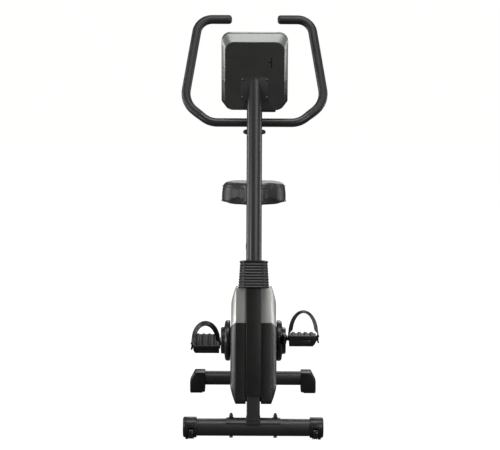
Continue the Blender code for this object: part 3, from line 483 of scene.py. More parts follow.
def camera_only(tree, others):
    """Strength of one where a surface is seen directly, and a lower one for the light it gives."""
    path = tree.nodes.new("ShaderNodeLightPath")
    mix = tree.nodes.new("ShaderNodeMix")
    mix.data_type = "FLOAT"
    mix.inputs["B"].default_value = 1.0
    tree.links.new(path.outputs["Is Camera Ray"], mix.inputs["Factor"])
    tree.links.new(others, mix.inputs["A"])
    return mix.outputs["Result"]


def make_world():
    """White backdrop whose light falls off from the zenith to the horizon."""
    world = bpy.data.worlds.new("studio")
    world.use_nodes = True
    tree = world.node_tree
    place = tree.nodes.new("ShaderNodeTexCoord")
    split = add_node(tree, "ShaderNodeSeparateXYZ", {}, {"Vector": place.outputs["Generated"]})
    fall = add_node(tree, "ShaderNodeMapRange", {"To Min": HORIZON_LIGHT, "To Max": ZENITH_LIGHT},
                    {"Value": split.outputs["Z"]})
    shader = tree.nodes["Background"]
    shader.inputs["Color"].default_value = (1.0, 1.0, 0.995, 1)
    tree.links.new(camera_only(tree, fall.outputs["Result"]), shader.inputs["Strength"])
    bpy.context.scene.world = world


def make_floor_material():
    """Pale matt floor with a faint mottle."""
    material, tree, shader = shader_nodes("pale_floor")
    shader.inputs["Roughness"].default_value = 0.85
    shader.inputs["Specular IOR Level"].default_value = 0.1
    tone = ramp(tree, noise(tree, 2.0), (0.100, 0.100, 0.099), (0.115, 0.115, 0.114))
    tree.links.new(tone, shader.inputs["Base Color"])
    shader.inputs["Emission Color"].default_value = (1.0, 1.0, 0.995, 1)
    dim = tree.nodes.new("ShaderNodeValue")
    dim.outputs["Value"].default_value = 0.03
    tree.links.new(camera_only(tree, dim.outputs["Value"]), shader.inputs["Emission Strength"])
    return material


LAMPS = (("key", (2.1, -3.4, 2.0), (2.0, 2.2), 52),
         ("side", (-2.5, 0.5, 1.1), (0.5, 2.2), 34),
         ("front_left", (-2.3, -1.9, 0.9), (0.3, 1.0), 28),
         ("right_rim", (2.4, 0.6, 1.0), (0.4, 2.0), 21),
         ("top", (0.2, -0.9, 3.3), (2.4, 1.1), 42),
         ("rear", (0.6, 3.4, 2.4), (2.2, 1.8), 40))


def make_stage():
    camera_data = bpy.data.cameras.new("camera")
    camera_data.sensor_width = 36.0
    camera_data.lens = 134.06
    camera = link("camera", camera_data)
    look = Matrix.Rotation(radians(90 - 6.80), 4, "X") @ Matrix.Rotation(radians(0.26), 4, "Z")
    camera.matrix_world = Matrix.Translation((-0.014, -6.697, 1.494)) @ look
    bpy.context.scene.camera = camera
    for name, place, size, power in LAMPS:
        data = bpy.data.lights.new(name, "AREA")
        data.shape = "RECTANGLE"
        data.size = size[0]
        data.size_y = size[1]
        data.energy = power
        lamp = link(name, data)
        aim = Vector((0, 0, 0.75)) - Vector(place)
        lamp.matrix_world = Matrix.Translation(place) @ aim.to_track_quat("-Z", "Y").to_matrix().to_4x4()
    make_world()
    bpy.context.scene.view_settings.view_transform = "Standard"
    shape = bmesh.new()
    bmesh.ops.create_grid(shape, x_segments=1, y_segments=1, size=12.0)
    floor = from_bmesh(shape)
    floor.name = "floor"
    floor.data.materials.append(make_floor_material())


# ---- frame and base -----------------------------------------------------


def make_frame():
    """Base beam, front post foot, seat tube and saddle plates, with soft edges and weld beads."""
    post = post_box(POST_WIDTH, 0.060, -0.02, 0.455)
    softened(post, 0.004, 4)
    cut(post, crossbar((0, FRONT_Y, FRONT_Z), 0.3, 0.0303))
    painted(post, "front_post", ("main_frame",))
    beam = softened(box((0.040, 0.7385, 0.045), (0, 0.0305, 0.1065)), 0.005, 4)
    painted(beam, "base_beam")
    tube = rod(on_seat_tube(-0.005), on_seat_tube(SEAT_TUBE_LENGTH), 0.025)
    cut(tube, rod(on_seat_tube(0.235), on_seat_tube(SEAT_TUBE_LENGTH + 0.02), 0.0212))
    painted(tube, "seat_tube")
    painted(rod(on_post(0.445), on_post(0.555), 0.0225), "mast_spigot")
    shell = cut(crossbar(CRANK_CENTRE, 0.034, 0.023), crossbar(CRANK_CENTRE, 0.05, 0.020))
    painted(shell, "crank_shell")
    make_flywheel_brackets()
    front = (FRONT_Y, FRONT_Z, FRONT_RADIUS, 0.0033, 0.094)
    rear = (REAR_Y, REAR_Z, REAR_RADIUS, 0.0050, 0.060)
    for name, (y, z, radius, plate, half) in (("front_saddle_plate", front), ("rear_saddle_plate", rear)):
        outer = arc((y, z), radius + plate, radians(35), radians(145), 32)
        inner = arc((y, z), radius + PLAY, radians(145), radians(35), 32)
        painted(softened(prism(outer + inner, -half, half), 0.0012, 3), name)
    painted(bead(weld_round(on_post(0.006), POST_WIDTH, 0.062)), "weld_post")
    painted(bead(weld_round(Vector((0, 0.389, 0.0858)), 0.040, 0.060)), "weld_rear")


def make_flywheel_brackets():
    """Two plates that carry the flywheel axle, and the brake pivot pin between its lugs."""
    low = on_post(0.15, -0.022)
    high = on_post(0.28, -0.022)
    nose = arc((FLYWHEEL_CENTRE.y, FLYWHEEL_CENTRE.z), 0.014, radians(-70), radians(70), 16)
    outline = [(low.y, low.z), *nose, (high.y, high.z)]
    spacer = box((0.0385, 0.016, 0.10), on_post(0.215, -0.028, 0.03925), -LEAN)
    pin = crossbar(BRAKE_PIVOT, 0.026, 0.004, 32)
    pieces = [(prism(outline, 0.056, 0.060), "flywheel_bracket_left"), (spacer, "flywheel_spacer"),
              (prism(outline, -0.030, -0.022), "flywheel_bracket_right"), (pin, "brake_pivot_pin")]
    foot = on_post(0.285, -0.025)
    for side, label in ((1, "left"), (-1, "right")):
        lug = box((0.003, 0.036, 0.020), (side * 0.0205, (foot.y + BRAKE_PIVOT.y) / 2, BRAKE_PIVOT.z))
        pieces.append((lug, f"brake_lug_{label}"))
    for piece, name in pieces:
        painted(softened(piece, 0.0006, 2), name)


def weld_round(centre, width, depth):
    """Points round a rectangular joint."""
    corners = rounded([(-width / 2, -depth / 2), (width / 2, -depth / 2), (width / 2, depth / 2),
                       (-width / 2, depth / 2)], [0.004] * 4, 4)
    return [centre + Vector((x, y, 0)) for x, y in corners]


def bead(points):
    """A rippled weld bead along a closed route."""
    route = []
    for index, point in enumerate(points):
        ahead = points[(index + 1) % len(points)]
        steps = max(1, int((ahead - point).length / 0.002))
        route += [point.lerp(ahead, step / steps) for step in range(steps)]
    route.append(route[0] + (route[1] - route[0]) * 0.5)
    radii = [0.0016 + 0.0004 * sin(index * pi * 0.9) for index in range(len(route))]
    return sweep(route, radii, 8)


def make_stabilizers():
    for name, y, z, radius, half in (("front_stabilizer", FRONT_Y, FRONT_Z, FRONT_RADIUS, 0.2032),
                                     ("rear_stabilizer", REAR_Y, REAR_Z, REAR_RADIUS, 0.2155)):
        painted(crossbar((0, y, z), half, radius, 96), f"{name}_tube", (name,))


def make_front_cap(side, label):
    """Domed end cap with a collar, a grip rib, a flat foot and the wheel slot."""
    profile = [(0.1955, 0.0), (0.1955, 0.0345), (0.1962, 0.0355), (0.1980, 0.0359), (0.2010, 0.0359),
               (0.2018, 0.0352), (0.2030, 0.0352), (0.2038, 0.0359), (0.2360, 0.0359), (0.2388, 0.0350),
               (0.2408, 0.0333), (0.2420, 0.0308), (0.2425, 0.0280), (0.2425, 0.0)]
    cap = placed(spun(profile, 96), Matrix.Translation((0, FRONT_Y, FRONT_Z)))
    join(cap, box((0.030, 0.046, 0.010), (0.2185, -0.388, 0.0051)))
    cut(cap, box((0.1, 0.2, 0.1), (0.23, FRONT_Y, -0.05)))
    cut(cap, box((0.0184, 0.060, 0.050), (0.2145, -0.42, 0.0175)))
    cut(cap, rod((0.15, FRONT_Y, FRONT_Z), (0.2036, FRONT_Y, FRONT_Z), 0.0303, 96))
    softened(cap, 0.0008, 2, 40)
    show(on_side(cap, side), f"front_end_cap_{label}", "black", "frame",
         (f"front_cap_{label}",))


def make_wheel(side, label):
    """Transport wheel with a shallow groove and a steel pin."""
    profile = [(-0.008, 0.0045), (-0.006, 0.0045), (0.006, 0.0045), (0.008, 0.0045), (0.008, 0.0120),
               (0.0065, 0.0135), (0.0065, 0.0160), (0.0080, 0.0170), (0.0072, 0.0190), (0.0055, 0.0195),
               (0.0020, 0.0195), (0.0012, 0.0189), (-0.0012, 0.0189), (-0.0020, 0.0195), (-0.0055, 0.0195),
               (-0.0072, 0.0190), (-0.0080, 0.0170), (-0.0065, 0.0160), (-0.0065, 0.0135), (-0.008, 0.0120)]
    x = side * 0.2145
    y = -0.411
    z = 0.0215
    show(placed(spun(profile), Matrix.Translation((x, y, z))), f"wheel_{label}", "wheel", f"{label}_wheel",
         (f"transport_wheel_{label}",))
    pin = rod((x - 0.0105, y, z), (x + 0.0105, y, z), 0.0038, 32)
    show(pin, f"wheel_pin_{label}", "steel", "frame")


def make_rear_foot(side, label):
    """Moulded rear foot with a rib pattern at its side and a rubber sole."""
    foot = box((0.058, 0.074, 0.0775), (0.2135, 0.3935, 0.04175))
    cut(foot, wedge([(0.2430, 0.0440), (0.2235, 0.0815), (0.2450, 0.0835)], (0.33, 0.45)))
    softened(foot, 0.0035, 4)
    cut(foot, rod((0.18, REAR_Y, REAR_Z), (0.2160, REAR_Y, REAR_Z), 0.0273, 96))
    for level in (0.016, 0.024, 0.032):
        cut(foot, box((0.004, 0.050, 0.0022), (0.2430, 0.3935, level)))
    sole = softened(box((0.046, 0.071, 0.0032), (0.2180, 0.3935, 0.0016)), 0.0010, 3)
    show(on_side(foot, side), f"rear_foot_shell_{label}", "black", "frame",
         (f"rear_foot_{label}",))
    show(on_side(sole, side), f"rear_foot_sole_{label}", "rubber", "frame")


def make_bolt(side, label):
    """Domed nut and washer over the saddle plate, bolt head under the tube."""
    x = side * 0.0762
    top = 0.0716
    profile = [(0.0, 0.0), (0.0, 0.0098), (0.0012, 0.0098), (0.0013, 0.0)]
    turn = Matrix.Translation((x, FRONT_Y, top)) @ Matrix.Rotation(radians(-90), 4, "Y")
    washer = placed(spun(profile, 48), turn)
    nut = rod((x, FRONT_Y, top + 0.0013), (x, FRONT_Y, top + 0.0095), 0.0078, 6)
    softened(nut, 0.0005, 2)
    dome = [(0.0, 0.0), (0.0, 0.0058), (0.0030, 0.0056), (0.0060, 0.0046), (0.0080, 0.0028), (0.0088, 0.0)]
    crown = placed(spun(dome, 48), Matrix.Translation((0, 0, 0.009)) @ turn)
    head = rod((x, FRONT_Y, 0.0022), (x, FRONT_Y, 0.0078), 0.0070, 6)
    show(washer, f"washer_{label}", "steel", "frame")
    show(join(nut, crown), f"dome_nut_{label}", "crank", "frame", (f"front_bolt_{label}",))
    show(softened(head, 0.0005, 2), f"bolt_head_{label}", "steel", "frame")


# ---- shroud and covers --------------------------------------------------


def shroud_outline(steps=10):
    low = on_post(0.052, SHROUD_FRONT)
    high = on_post(SHROUD_TOP, SHROUD_FRONT)
    back = on_post(SHROUD_TOP, -0.066)
    corners = [(low.y, low.z), (0.020, 0.118), (0.165, 0.190), (0.185, 0.330), (0.105, 0.430),
               (-0.130, 0.475), (back.y, back.z), (high.y, high.z)]
    return dense(rounded(corners, [0.012, 0.060, 0.060, 0.080, 0.080, 0.060, 0.015, 0.012], steps), 0.012)


def dense(loop, spacing):
    """The same closed outline with extra points along its long straight runs."""
    points = []
    for index, point in enumerate(loop):
        start = Vector(point)
        end = Vector(loop[(index + 1) % len(loop)])
        steps = max(1, round((end - start).length / spacing))
        points += [tuple(start.lerp(end, step / steps)) for step in range(steps)]
    return points


def eased(share):
    """A share held between 0 and 1, with a gentle start and end."""
    held = max(0.0, min(1.0, share))
    return held * held * (3 - 2 * held)


def side_outline(outline, shrink):
    """The smaller outline of the flat side face, drawn in at its top and bottom."""
    drawn = []
    for y, z in outline:
        y = SHROUD_MIDDLE.x + (y - SHROUD_MIDDLE.x) * shrink
        z = SHROUD_MIDDLE.y + (z - SHROUD_MIDDLE.y) * shrink
        drawn.append((y, z - 0.040 * eased((z - 0.34) / 0.15) + 0.048 * eased((0.20 - z) / 0.09)))
    return drawn


def shroud_body(thickness, near, proud=0.0):
    """Left half of the shroud as a solid with a softened chamfer."""
    outline = shroud_outline()
    rim = inset(outline, thickness - proud)
    side = side_outline(rim, 0.895)
    face = SHROUD_FACE_HALF - thickness * 0.4 + proud * 0.4
    wide = SHROUD_HALF - thickness + proud
    rings = [[(near, y, z) for y, z in rim], [(face - 0.0016, y, z) for y, z in rim]]
    for share in (0.02, 0.08, 0.20, 0.40, 0.60, 0.80, 0.92):
        bulge = share + 0.10 * sin(pi * share)
        rings.append([(face + (wide - face) * bulge, a[0] + (b[0] - a[0]) * share,
                       a[1] + (b[1] - a[1]) * share) for a, b in zip(rim, side)])
    rings.append([(wide - 0.0003, y, z) for y, z in side_outline(rim, 0.893)])
    rings.append([(wide, y, z) for y, z in side_outline(rim, 0.880)])
    return loft(rings)


def seam_region(shift):
    """Everything above the line where the grey covers meet the black ones."""
    line = [(-0.50, 0.396), (-0.3440, 0.396), (-0.3150, 0.373), (-0.10, 0.345), (0.30, 0.345), (0.30, 0.7),
            (-0.50, 0.7)]
    line = rounded([(y, z + shift) for y, z in line], [0, 0.008, 0.010, 0.25, 0, 0, 0], 12)
    return prism(line, -0.2, 0.2)


def shroud_cuts(shell):
    cut(shell, post_box(2 * 0.0263, 0.12, -0.05, 0.60, 0.0287))
    cut(shell, post_box(2 * 0.0545, 0.160, 0.4540, 0.60, 0.0255))
    cut(shell, rod(on_seat_tube(-0.04), on_seat_tube(0.7), 0.0256))
    cut(shell, box((0.0412, 0.9, 0.0462), (0, 0.05, 0.1065)))
    cut(shell, rod(CRANK_CENTRE, CRANK_CENTRE + Vector((0.12, 0, 0)), 0.0120))


def make_shroud():
    """Grey upper covers and slightly proud black lower covers."""
    for level, proud, material, slot in (("upper", 0.0, "grey", "silver_grey_plastic"),
                                         ("lower", 0.0022, "black", "black_plastic")):
        shell = shroud_body(0, 0.00015, proud)
        cut(shell, shroud_body(0.0025, -0.02))
        shroud_cuts(shell)
        if level == "upper":
            boolean(shell, seam_region(0.0004), "INTERSECT")
        else:
            cut(shell, seam_region(-0.0004))
            cut(shell, box((0.0126, 0.02, 0.0126), (0.036, 0.172, 0.235)))
        softened(shell, 0.0009 if level == "upper" else 0.0026, 4, 50)
        right = mirrored(shell)
        show(shell, f"cover_{level}_left", material, "frame", (f"shroud_{level}_left",), 28)
        show(right, f"cover_{level}_right", material, "frame", (f"shroud_{level}_right",), 28)
    for side, label in ((-1, "right"), (1, "left")):
        for index, (y, z) in enumerate(COVER_SCREWS):
            make_cover_screw(side, y, z, f"{label}_{index}")


def make_cover_screw(side, y, z, label):
    """Cross-head screw let into the side of the cover."""
    face = SHROUD_HALF + 0.0010
    tip = (side * (face + 0.0012), y, z)
    head = rod((side * (face - 0.004), y, z), tip, 0.0042, 32, 0.0036)
    for turn in (20, 110):
        groove = box((0.002, 0.0048, 0.0010), (0, 0, 0))
        placed(groove, Matrix.Translation(tip) @ Matrix.Rotation(radians(turn), 4, "X"))
        cut(head, groove)
    show(head, f"cover_screw_{label}", "crank", "frame")


def make_post_cover():
    outer = post_box(0.052, 0.0225, 0.078, 0.452, 0.0335 - 0.01125)
    cut(outer, post_box(POST_WIDTH + 0.0006, 0.06, 0.07, 0.46, 0.0003))
    softened(outer, 0.0022, 4, 50)
    show(outer, "post_cover_strip", "black", "frame", ("post_cover",))


def bellows_ring(along, half_width, half_depth):
    band = 0.032
    corners = [(-band, half_depth), (band, half_depth), (half_width, half_depth - 0.028),
               (half_width, -half_depth + 0.024), (band, -half_depth), (-band, -half_depth),
               (-half_width, -half_depth + 0.024), (-half_width, half_depth - 0.028)]
    ring = rounded(corners, [0.009] * 8, 4)
    return [on_post(along, forward, across) for across, forward in ring]


def make_bellows():
    """Ribbed collar with a thin top lip and a bore for the mast."""
    rings = []
    height = 0.088
    ribs = 9
    steps = ribs * 8
    for step in range(steps + 1):
        share = step / steps
        rib = 0.0024 * (0.5 - 0.5 * cos(2 * pi * ribs * share)) ** 0.8
        rings.append(bellows_ring(COLLAR_START + height * share, 0.0540 - 0.0055 * share - rib,
                                  0.0520 - 0.0060 * share - rib))
    for extra, grow in ((0.0885, 0.0008), (0.0920, 0.0008), (0.0930, -0.0002)):
        rings.append(bellows_ring(COLLAR_START + extra, 0.0485 + grow, 0.0460 + grow))
    collar = loft(rings)
    cut(collar, rod(on_post(COLLAR_START - 0.02), on_post(COLLAR_START + 0.12), MAST_RADIUS + PLAY, 96))
    cut(collar, post_box(0.052, 0.068, COLLAR_START - 0.01, COLLAR_START + 0.006))
    show(collar, "ribbed_collar", "rubber", "frame", ("bellows_collar",), 40)


# ---- cranks and pedals --------------------------------------------------


def crank_outline(side, margin):
    hub = (CRANK_CENTRE.y, CRANK_CENTRE.z)
    end_point = pedal_centre(side)
    way = (end_point - CRANK_CENTRE).normalized()
    angle = -Vector((1, 0)).angle_signed(Vector((way.y, way.z)))
    outline = arc(hub, 0.019 + margin, angle + pi / 2, angle + 3 * pi / 2, 24)
    return outline + arc((end_point.y, end_point.z), 0.014 + margin, angle - pi / 2, angle + pi / 2, 20)


def make_crank(side, label):
    arm = prism(crank_outline(side, 0), *sorted((side * 0.1065, side * 0.1180)))
    softened(arm, 0.0025, 4)
    centre = pedal_centre(side)
    near = Vector((side * 0.09, 0, 0))
    far = Vector((side * 0.13, 0, 0))
    for eye, radius in ((centre, 0.0073), (CRANK_CENTRE, 0.0088)):
        cut(arm, rod(eye + near, eye + far, radius, 48))
    show(arm, f"crank_{label}", "crank", "crankset", (f"crank_arm_{label}",))
    profile = [(0.0830, 0.0088), (0.0830, 0.0180), (0.0838, 0.0560), (0.0842, 0.0700), (0.0850, 0.0725),
               (0.0870, 0.0738), (0.0900, 0.0741), (0.0945, 0.0741), (0.0975, 0.0735), (0.1000, 0.0718),
               (0.1020, 0.0690), (0.1034, 0.0650), (0.1042, 0.0600), (0.1046, 0.0545), (0.1052, 0.0510),
               (0.1064, 0.0492), (0.1085, 0.0486), (0.1135, 0.0484), (0.1158, 0.0478), (0.1172, 0.0462),
               (0.1180, 0.0435), (0.1180, 0.0300), (0.1176, 0.0290), (0.1176, 0.0088)]
    cover = spun([(side * x, radius) for x, radius in profile], 128)
    placed(cover, Matrix.Translation(CRANK_CENTRE))
    cut(cover, prism(crank_outline(side, 0.0006), *sorted((side * 0.1057, side * 0.130))))
    show(cover, f"crank_guard_{label}", "guard", "crankset", (f"crank_cover_{label}",), 36)
    dome = [(0.1150, 0.0), (0.1150, 0.0125), (0.1188, 0.0125), (0.1200, 0.0112), (0.1205, 0.0080),
            (0.1206, 0.0)]
    cap = placed(spun([(side * x, radius) for x, radius in dome], 64), Matrix.Translation(CRANK_CENTRE))
    show(cap, f"crank_dust_cap_{label}", "black", "crankset")
    make_spindle(side, label, centre)


def make_spindle(side, label, centre):
    profile = [(0.1075, 0.0), (0.1075, 0.0068), (0.1183, 0.0068), (0.1183, 0.0100), (0.1190, 0.0105),
               (0.1222, 0.0105), (0.1228, 0.0098), (0.1228, 0.0068), (0.2095, 0.0068), (0.2100, 0.0062),
               (0.2100, 0.0)]
    spindle = spun([(side * x, radius) for x, radius in profile], 48)
    for edge in (-1, 1):
        cut(spindle, box((0.0040, 0.0240, 0.010), (side * 0.1206, 0, edge * 0.0128)))
    placed(spindle, Matrix.Translation(centre))
    show(spindle, f"spindle_{label}", "steel", "crankset", (f"pedal_spindle_{label}",))


def pedal_pieces():
    """Left pedal in its own coordinates: shell, tread ribs, front panel and end cap."""
    middle = (PEDAL_INNER + PEDAL_OUTER) / 2
    rail = rounded([(-0.050, -0.014), (-0.030, -0.025), (0.030, -0.025), (0.050, -0.012), (0.048, 0.010),
                    (-0.040, 0.010), (-0.042, 0.0165), (-0.050, 0.0165)],
                   [0.004, 0.004, 0.006, 0.006, 0.004, 0.002, 0.003, 0.003], 6)
    shell = prism(rail, PEDAL_INNER, PEDAL_OUTER)
    inner = PEDAL_INNER + 0.004
    outer = PEDAL_OUTER - 0.020
    cut(shell, box((outer - inner, 0.068, 0.034), ((inner + outer) / 2, 0.004, -0.017)))
    corner = [(PEDAL_OUTER - 0.0160, -0.031), (PEDAL_OUTER + 0.0005, -0.001), (PEDAL_OUTER + 0.0025, -0.033)]
    cut(shell, wedge(corner, (-0.06, 0.06)))
    join(shell, rod((PEDAL_INNER + 0.001, 0, -0.0002), (PEDAL_OUTER - 0.004, 0, -0.0002), 0.0097, 48))
    cut(shell, rod((0.1, 0, 0), (0.2145, 0, 0), 0.0073, 32))
    cut(shell, box((0.064, 0.0024, 0.0150), (middle - 0.004, -0.0500, -0.0060)))
    softened(shell, 0.0012, 3, 40)
    pieces = [(shell, "shell", "tread", "black_plastic")]
    for index in range(4):
        x = middle + (index - 1.5) * 0.0215
        rib = [(-0.0470, 0.0), (-0.0455, 0.0045), (-0.0425, 0.0066), (-0.0390, 0.0074), (0.0390, 0.0074),
               (0.0425, 0.0066), (0.0445, 0.0045), (0.0455, 0.0)]
        bar = placed(spun(rib, 40), Matrix.Translation((x, 0, 0.0087)) @ Matrix.Rotation(radians(90), 4, "Z"))
        for groove in range(7):
            cut(bar, box((0.02, 0.0012, 0.0030), (x, (groove - 3) * 0.0115, 0.0160)))
        pieces.append((bar, f"tread_{index}", "tread", "black_plastic"))
    panel = softened(box((0.062, 0.0016, 0.0134), (middle - 0.004, -0.0494, -0.0060)), 0.0005, 2)
    pieces.append((panel, "front_panel", "crank", "black_plastic"))
    cap = placed(spun([(0.0, 0.0), (0.0, 0.0062), (0.0014, 0.0058), (0.0020, 0.0)], 40),
                 Matrix.Translation((PEDAL_OUTER - 0.0004, 0, 0.0005)))
    pieces.append((cap, "end_cap", "black", "black_plastic"))
    return pieces


def strap_line(lean, offset, steps=44):
    """Line of the strap in (x, z) from the outer foot to the inner foot."""
    left = PEDAL_INNER - 0.0020 - offset
    right = PEDAL_OUTER + 0.0060 + offset
    centre = (left + right) / 2
    half = (right - left) / 2
    line = [(right - 0.0038, -0.004), (right - 0.0030, 0.010)]
    for step in range(steps + 1):
        turn = pi * step / steps
        drawn = half - lean * min(1.0, 5 * sin(turn))
        line.append((centre + drawn * cos(turn), 0.020 + (0.0808 + offset - 0.35 * lean) * sin(turn)))
    return [*line, (left, 0.010), (left, -0.004)]


STRAP_SHARES = (0.0, 0.04, 0.10, 0.20, 0.24, 0.28, 0.36, 0.46, 0.50, 0.54, 0.64, 0.72, 0.76, 0.80, 0.90, 0.96,
                1.0)


def strap_pieces():
    """Toe strap in pedal coordinates: a leaning band with raised cords, holes, tail and button."""
    rings = []
    for share in STRAP_SHARES:
        cord = max(1 - abs(share - centre) / 0.045 for centre in (0.24, 0.50, 0.76))
        edge = 0.0006 if share in (0.0, 1.0) else 0.0
        thick = 0.0013 - edge + 0.0008 * max(0.0, cord)
        y = -0.035 + 0.0265 * share
        lean = 0.0125 * (1 - share)
        outer = strap_line(lean, thick)
        inner = strap_line(lean, -0.0013 + edge)
        rings.append([(x, y, z) for x, z in outer + list(reversed(inner))])
    band = loft(rings)
    for index in (6, 10, 14):
        x, z = strap_line(0.0050, 0.0)[index]
        toward = Vector((x - 0.1765, 0, z - 0.020)).normalized() * 0.01
        spot = Vector((x, -0.0255, z))
        cut(band, rod(spot - toward, spot + toward, 0.0018, 16))
    tail_line = [(PEDAL_OUTER + 0.0078, 0.018), (PEDAL_OUTER + 0.0078, 0.004), (PEDAL_OUTER + 0.0086, -0.006),
                 (PEDAL_OUTER + 0.0104, -0.013)]
    tail_back = [(x - 0.0058, z) for x, z in reversed(tail_line)]
    tail = loft([[(x, y, z) for x, z in tail_line + tail_back] for y in (-0.030, -0.016)])
    button = rod((PEDAL_OUTER + 0.0010, -0.0218, 0.0105), (PEDAL_OUTER + 0.0105, -0.0218, 0.0105), 0.0044, 24,
                 0.0038)
    return [(band, "toe_strap"), (softened(tail, 0.0006, 2), "strap_tail"),
            (softened(button, 0.0008, 2), "strap_button")]


def make_pedal(side, label):
    matrix = pedal_matrix(side)
    for piece, part, material, slot in pedal_pieces():
        nodes = (f"pedal_{label}",) if part == "shell" else ()
        piece = placed(on_side(piece, side), matrix)
        show(piece, f"pedal_{part}_{label}", material, f"{label}_pedal", nodes, 38)
    for piece, part in strap_pieces():
        nodes = (f"pedal_strap_{label}",) if part == "toe_strap" else ()
        piece = placed(on_side(piece, side), matrix)
        show(piece, f"{part}_{label}", "rubber", f"{label}_pedal", nodes, 50)


# ---- seat ---------------------------------------------------------------


def saddle_ring(scale, z, steps=8):
    """Smooth saddle outline with a slim nose at -Y and two wide lobes behind it."""
    half = [(0.0, -0.138), (0.016, -0.135), (0.0235, -0.118), (0.0255, -0.080), (0.0300, -0.045),
            (0.0520, -0.020), (0.0950, 0.004), (0.1170, 0.035), (0.1215, 0.075), (0.112, 0.108),
            (0.078, 0.130), (0.0, 0.136)]
    loop = half + [(-x, y) for x, y in reversed(half[1:-1])]
    count = len(loop)
    ring = []
    for index in range(count):
        p0, p1, p2, p3 = (Vector(loop[(index + shift) % count]) for shift in (-1, 0, 1, 2))
        for step in range(steps):
            t = step / steps
            point = 0.5 * ((2 * p1) + (p2 - p0) * t + (2 * p0 - 5 * p1 + 4 * p2 - p3) * t * t
                           + (3 * p1 - p0 - 3 * p2 + p3) * t * t * t)
            ring.append((point.x * scale, SADDLE_Y + point.y * scale, z))
    return ring


def saddle_loft(base, *rows):
    """A solid through saddle outlines, one for each (scale, height over the base) row."""
    return loft([saddle_ring(scale, base + rise) for scale, rise in rows])


def saddle_solid():
    """Padding with a shallow dip along its middle and an arched underside at the nose."""
    pad = saddle_loft(PAD_Z, (0.975, -0.0095), (0.990, -0.0080), (1.0, -0.0035), (1.0, 0.012), (0.992, 0.026),
                      (0.980, 0.038), (0.966, 0.047), (0.945, 0.054), (0.915, 0.0590), (0.875, 0.0618),
                      (0.80, 0.0634), (0.62, 0.0640), (0.35, 0.0641))
    for vertex in pad.data.vertices:
        across = abs(vertex.co.x)
        height = (vertex.co.z - PAD_Z) / 0.064
        back = eased((vertex.co.y - 0.21) / 0.06)
        nose = eased(1 - across / 0.050) * eased((0.27 - vertex.co.y) / 0.08)
        middle = eased(1 - across / 0.040)
        vertex.co.z += 0.022 * min(1.0, 1 - height) * nose - 0.005 * height * middle * back
        vertex.co.z -= 0.0025 * height * back * eased((across - 0.07) / 0.05)
    return pad


def make_saddle():
    pad = saddle_solid()
    remesh = pad.modifiers.new("even", "REMESH")
    remesh.mode = "VOXEL"
    remesh.voxel_size = 0.004
    bake(pad)
    puff(pad)
    smooth = pad.modifiers.new("smooth", "SUBSURF")
    smooth.levels = 1
    smooth.render_levels = 1
    bake(pad)
    show(pad, "saddle_cushion", "vinyl", "seat", ("saddle_pad",), 180)
    for name, scale, height, radius, arch in (("piping", 0.995, -0.0070, 0.0018, 0.0220),
                                              ("upper_seam", 0.972, 0.0480, 0.0010, 0.0055)):
        loop = [Vector(point) for point in saddle_ring(scale, PAD_Z + height)]
        for point in loop:
            point.z += arch * eased(1 - abs(point.x) / 0.050) * eased((0.27 - point.y) / 0.08)
        loop.append(loop[0] + (loop[1] - loop[0]) * 0.4)
        rope = sweep(loop, [radius] * len(loop), 12)
        finish = "vinyl" if name == "piping" else "thread"
        show(rope, f"saddle_{name}", finish, "seat", (), 60)
    pan = saddle_loft(SADDLE_BASE_Z, (0.74, -0.0105), (0.78, -0.0105), (0.80, -0.0095), (0.88, -0.0070),
                      (0.90, -0.0050), (0.90, 0.0062))
    for vertex in pan.data.vertices:
        vertex.co.z += 0.015 * eased(1 - abs(vertex.co.x) / 0.036) * eased((0.21 - vertex.co.y) / 0.04)
    show(pan, "saddle_base", "black", "seat", ("saddle_pan",), 30)


def puff(pad):
    """Inflate the cover with cloth pressure, then keep the change small."""
    before = [vertex.co.copy() for vertex in pad.data.vertices]
    cloth = pad.modifiers.new("cloth", "CLOTH")
    cloth.settings.use_pressure = True
    cloth.settings.uniform_pressure_force = 4.0
    cloth.settings.effector_weights.gravity = 0.0
    cloth.settings.tension_stiffness = 25
    cloth.settings.compression_stiffness = 25
    cloth.settings.bending_stiffness = 0.8
    cloth.point_cache.frame_start = 1
    cloth.point_cache.frame_end = 14
    scene = bpy.context.scene
    for number in range(1, 15):
        scene.frame_set(number)
    bake(pad)
    scene.frame_set(1)
    limit = 0.0025
    for vertex, start in zip(pad.data.vertices, before):
        move = vertex.co - start
        if move.length > limit:
            vertex.co = start + move.normalized() * limit


def make_seat_post():
    top = on_seat_tube(0.672)
    post = rod(on_seat_tube(0.262), top, 0.0205, 72)
    plate = softened(box((0.044, 0.110, 0.005), (0, top.y + 0.004, SADDLE_BASE_Z - 0.0138)), 0.0015, 3)
    join(post, plate)
    cut(post, box((0.2, 0.2, 0.05), (0, top.y, SADDLE_BASE_Z + 0.0137)))
    for step in range(7):
        along = 0.300 + 0.030 * step
        cut(post, rod(on_seat_tube(along, 0.012), on_seat_tube(along, 0.03), 0.0045, 32))
    show(post, "seat_post_tube", "paint", "seat", ("seat_post",))
    sleeve = rod(on_seat_tube(SEAT_TUBE_LENGTH - 0.012), on_seat_tube(SEAT_TUBE_LENGTH + 0.012), 0.029, 72)
    softened(sleeve, 0.003, 4)
    low = on_seat_tube(SEAT_TUBE_LENGTH - 0.03)
    cut(sleeve, rod(low, on_seat_tube(SEAT_TUBE_LENGTH), 0.0253, 72))
    cut(sleeve, rod(low, on_seat_tube(SEAT_TUBE_LENGTH + 0.03), 0.0210, 72))
    show(sleeve, "post_bush", "black", "frame", ("seat_post_sleeve",))


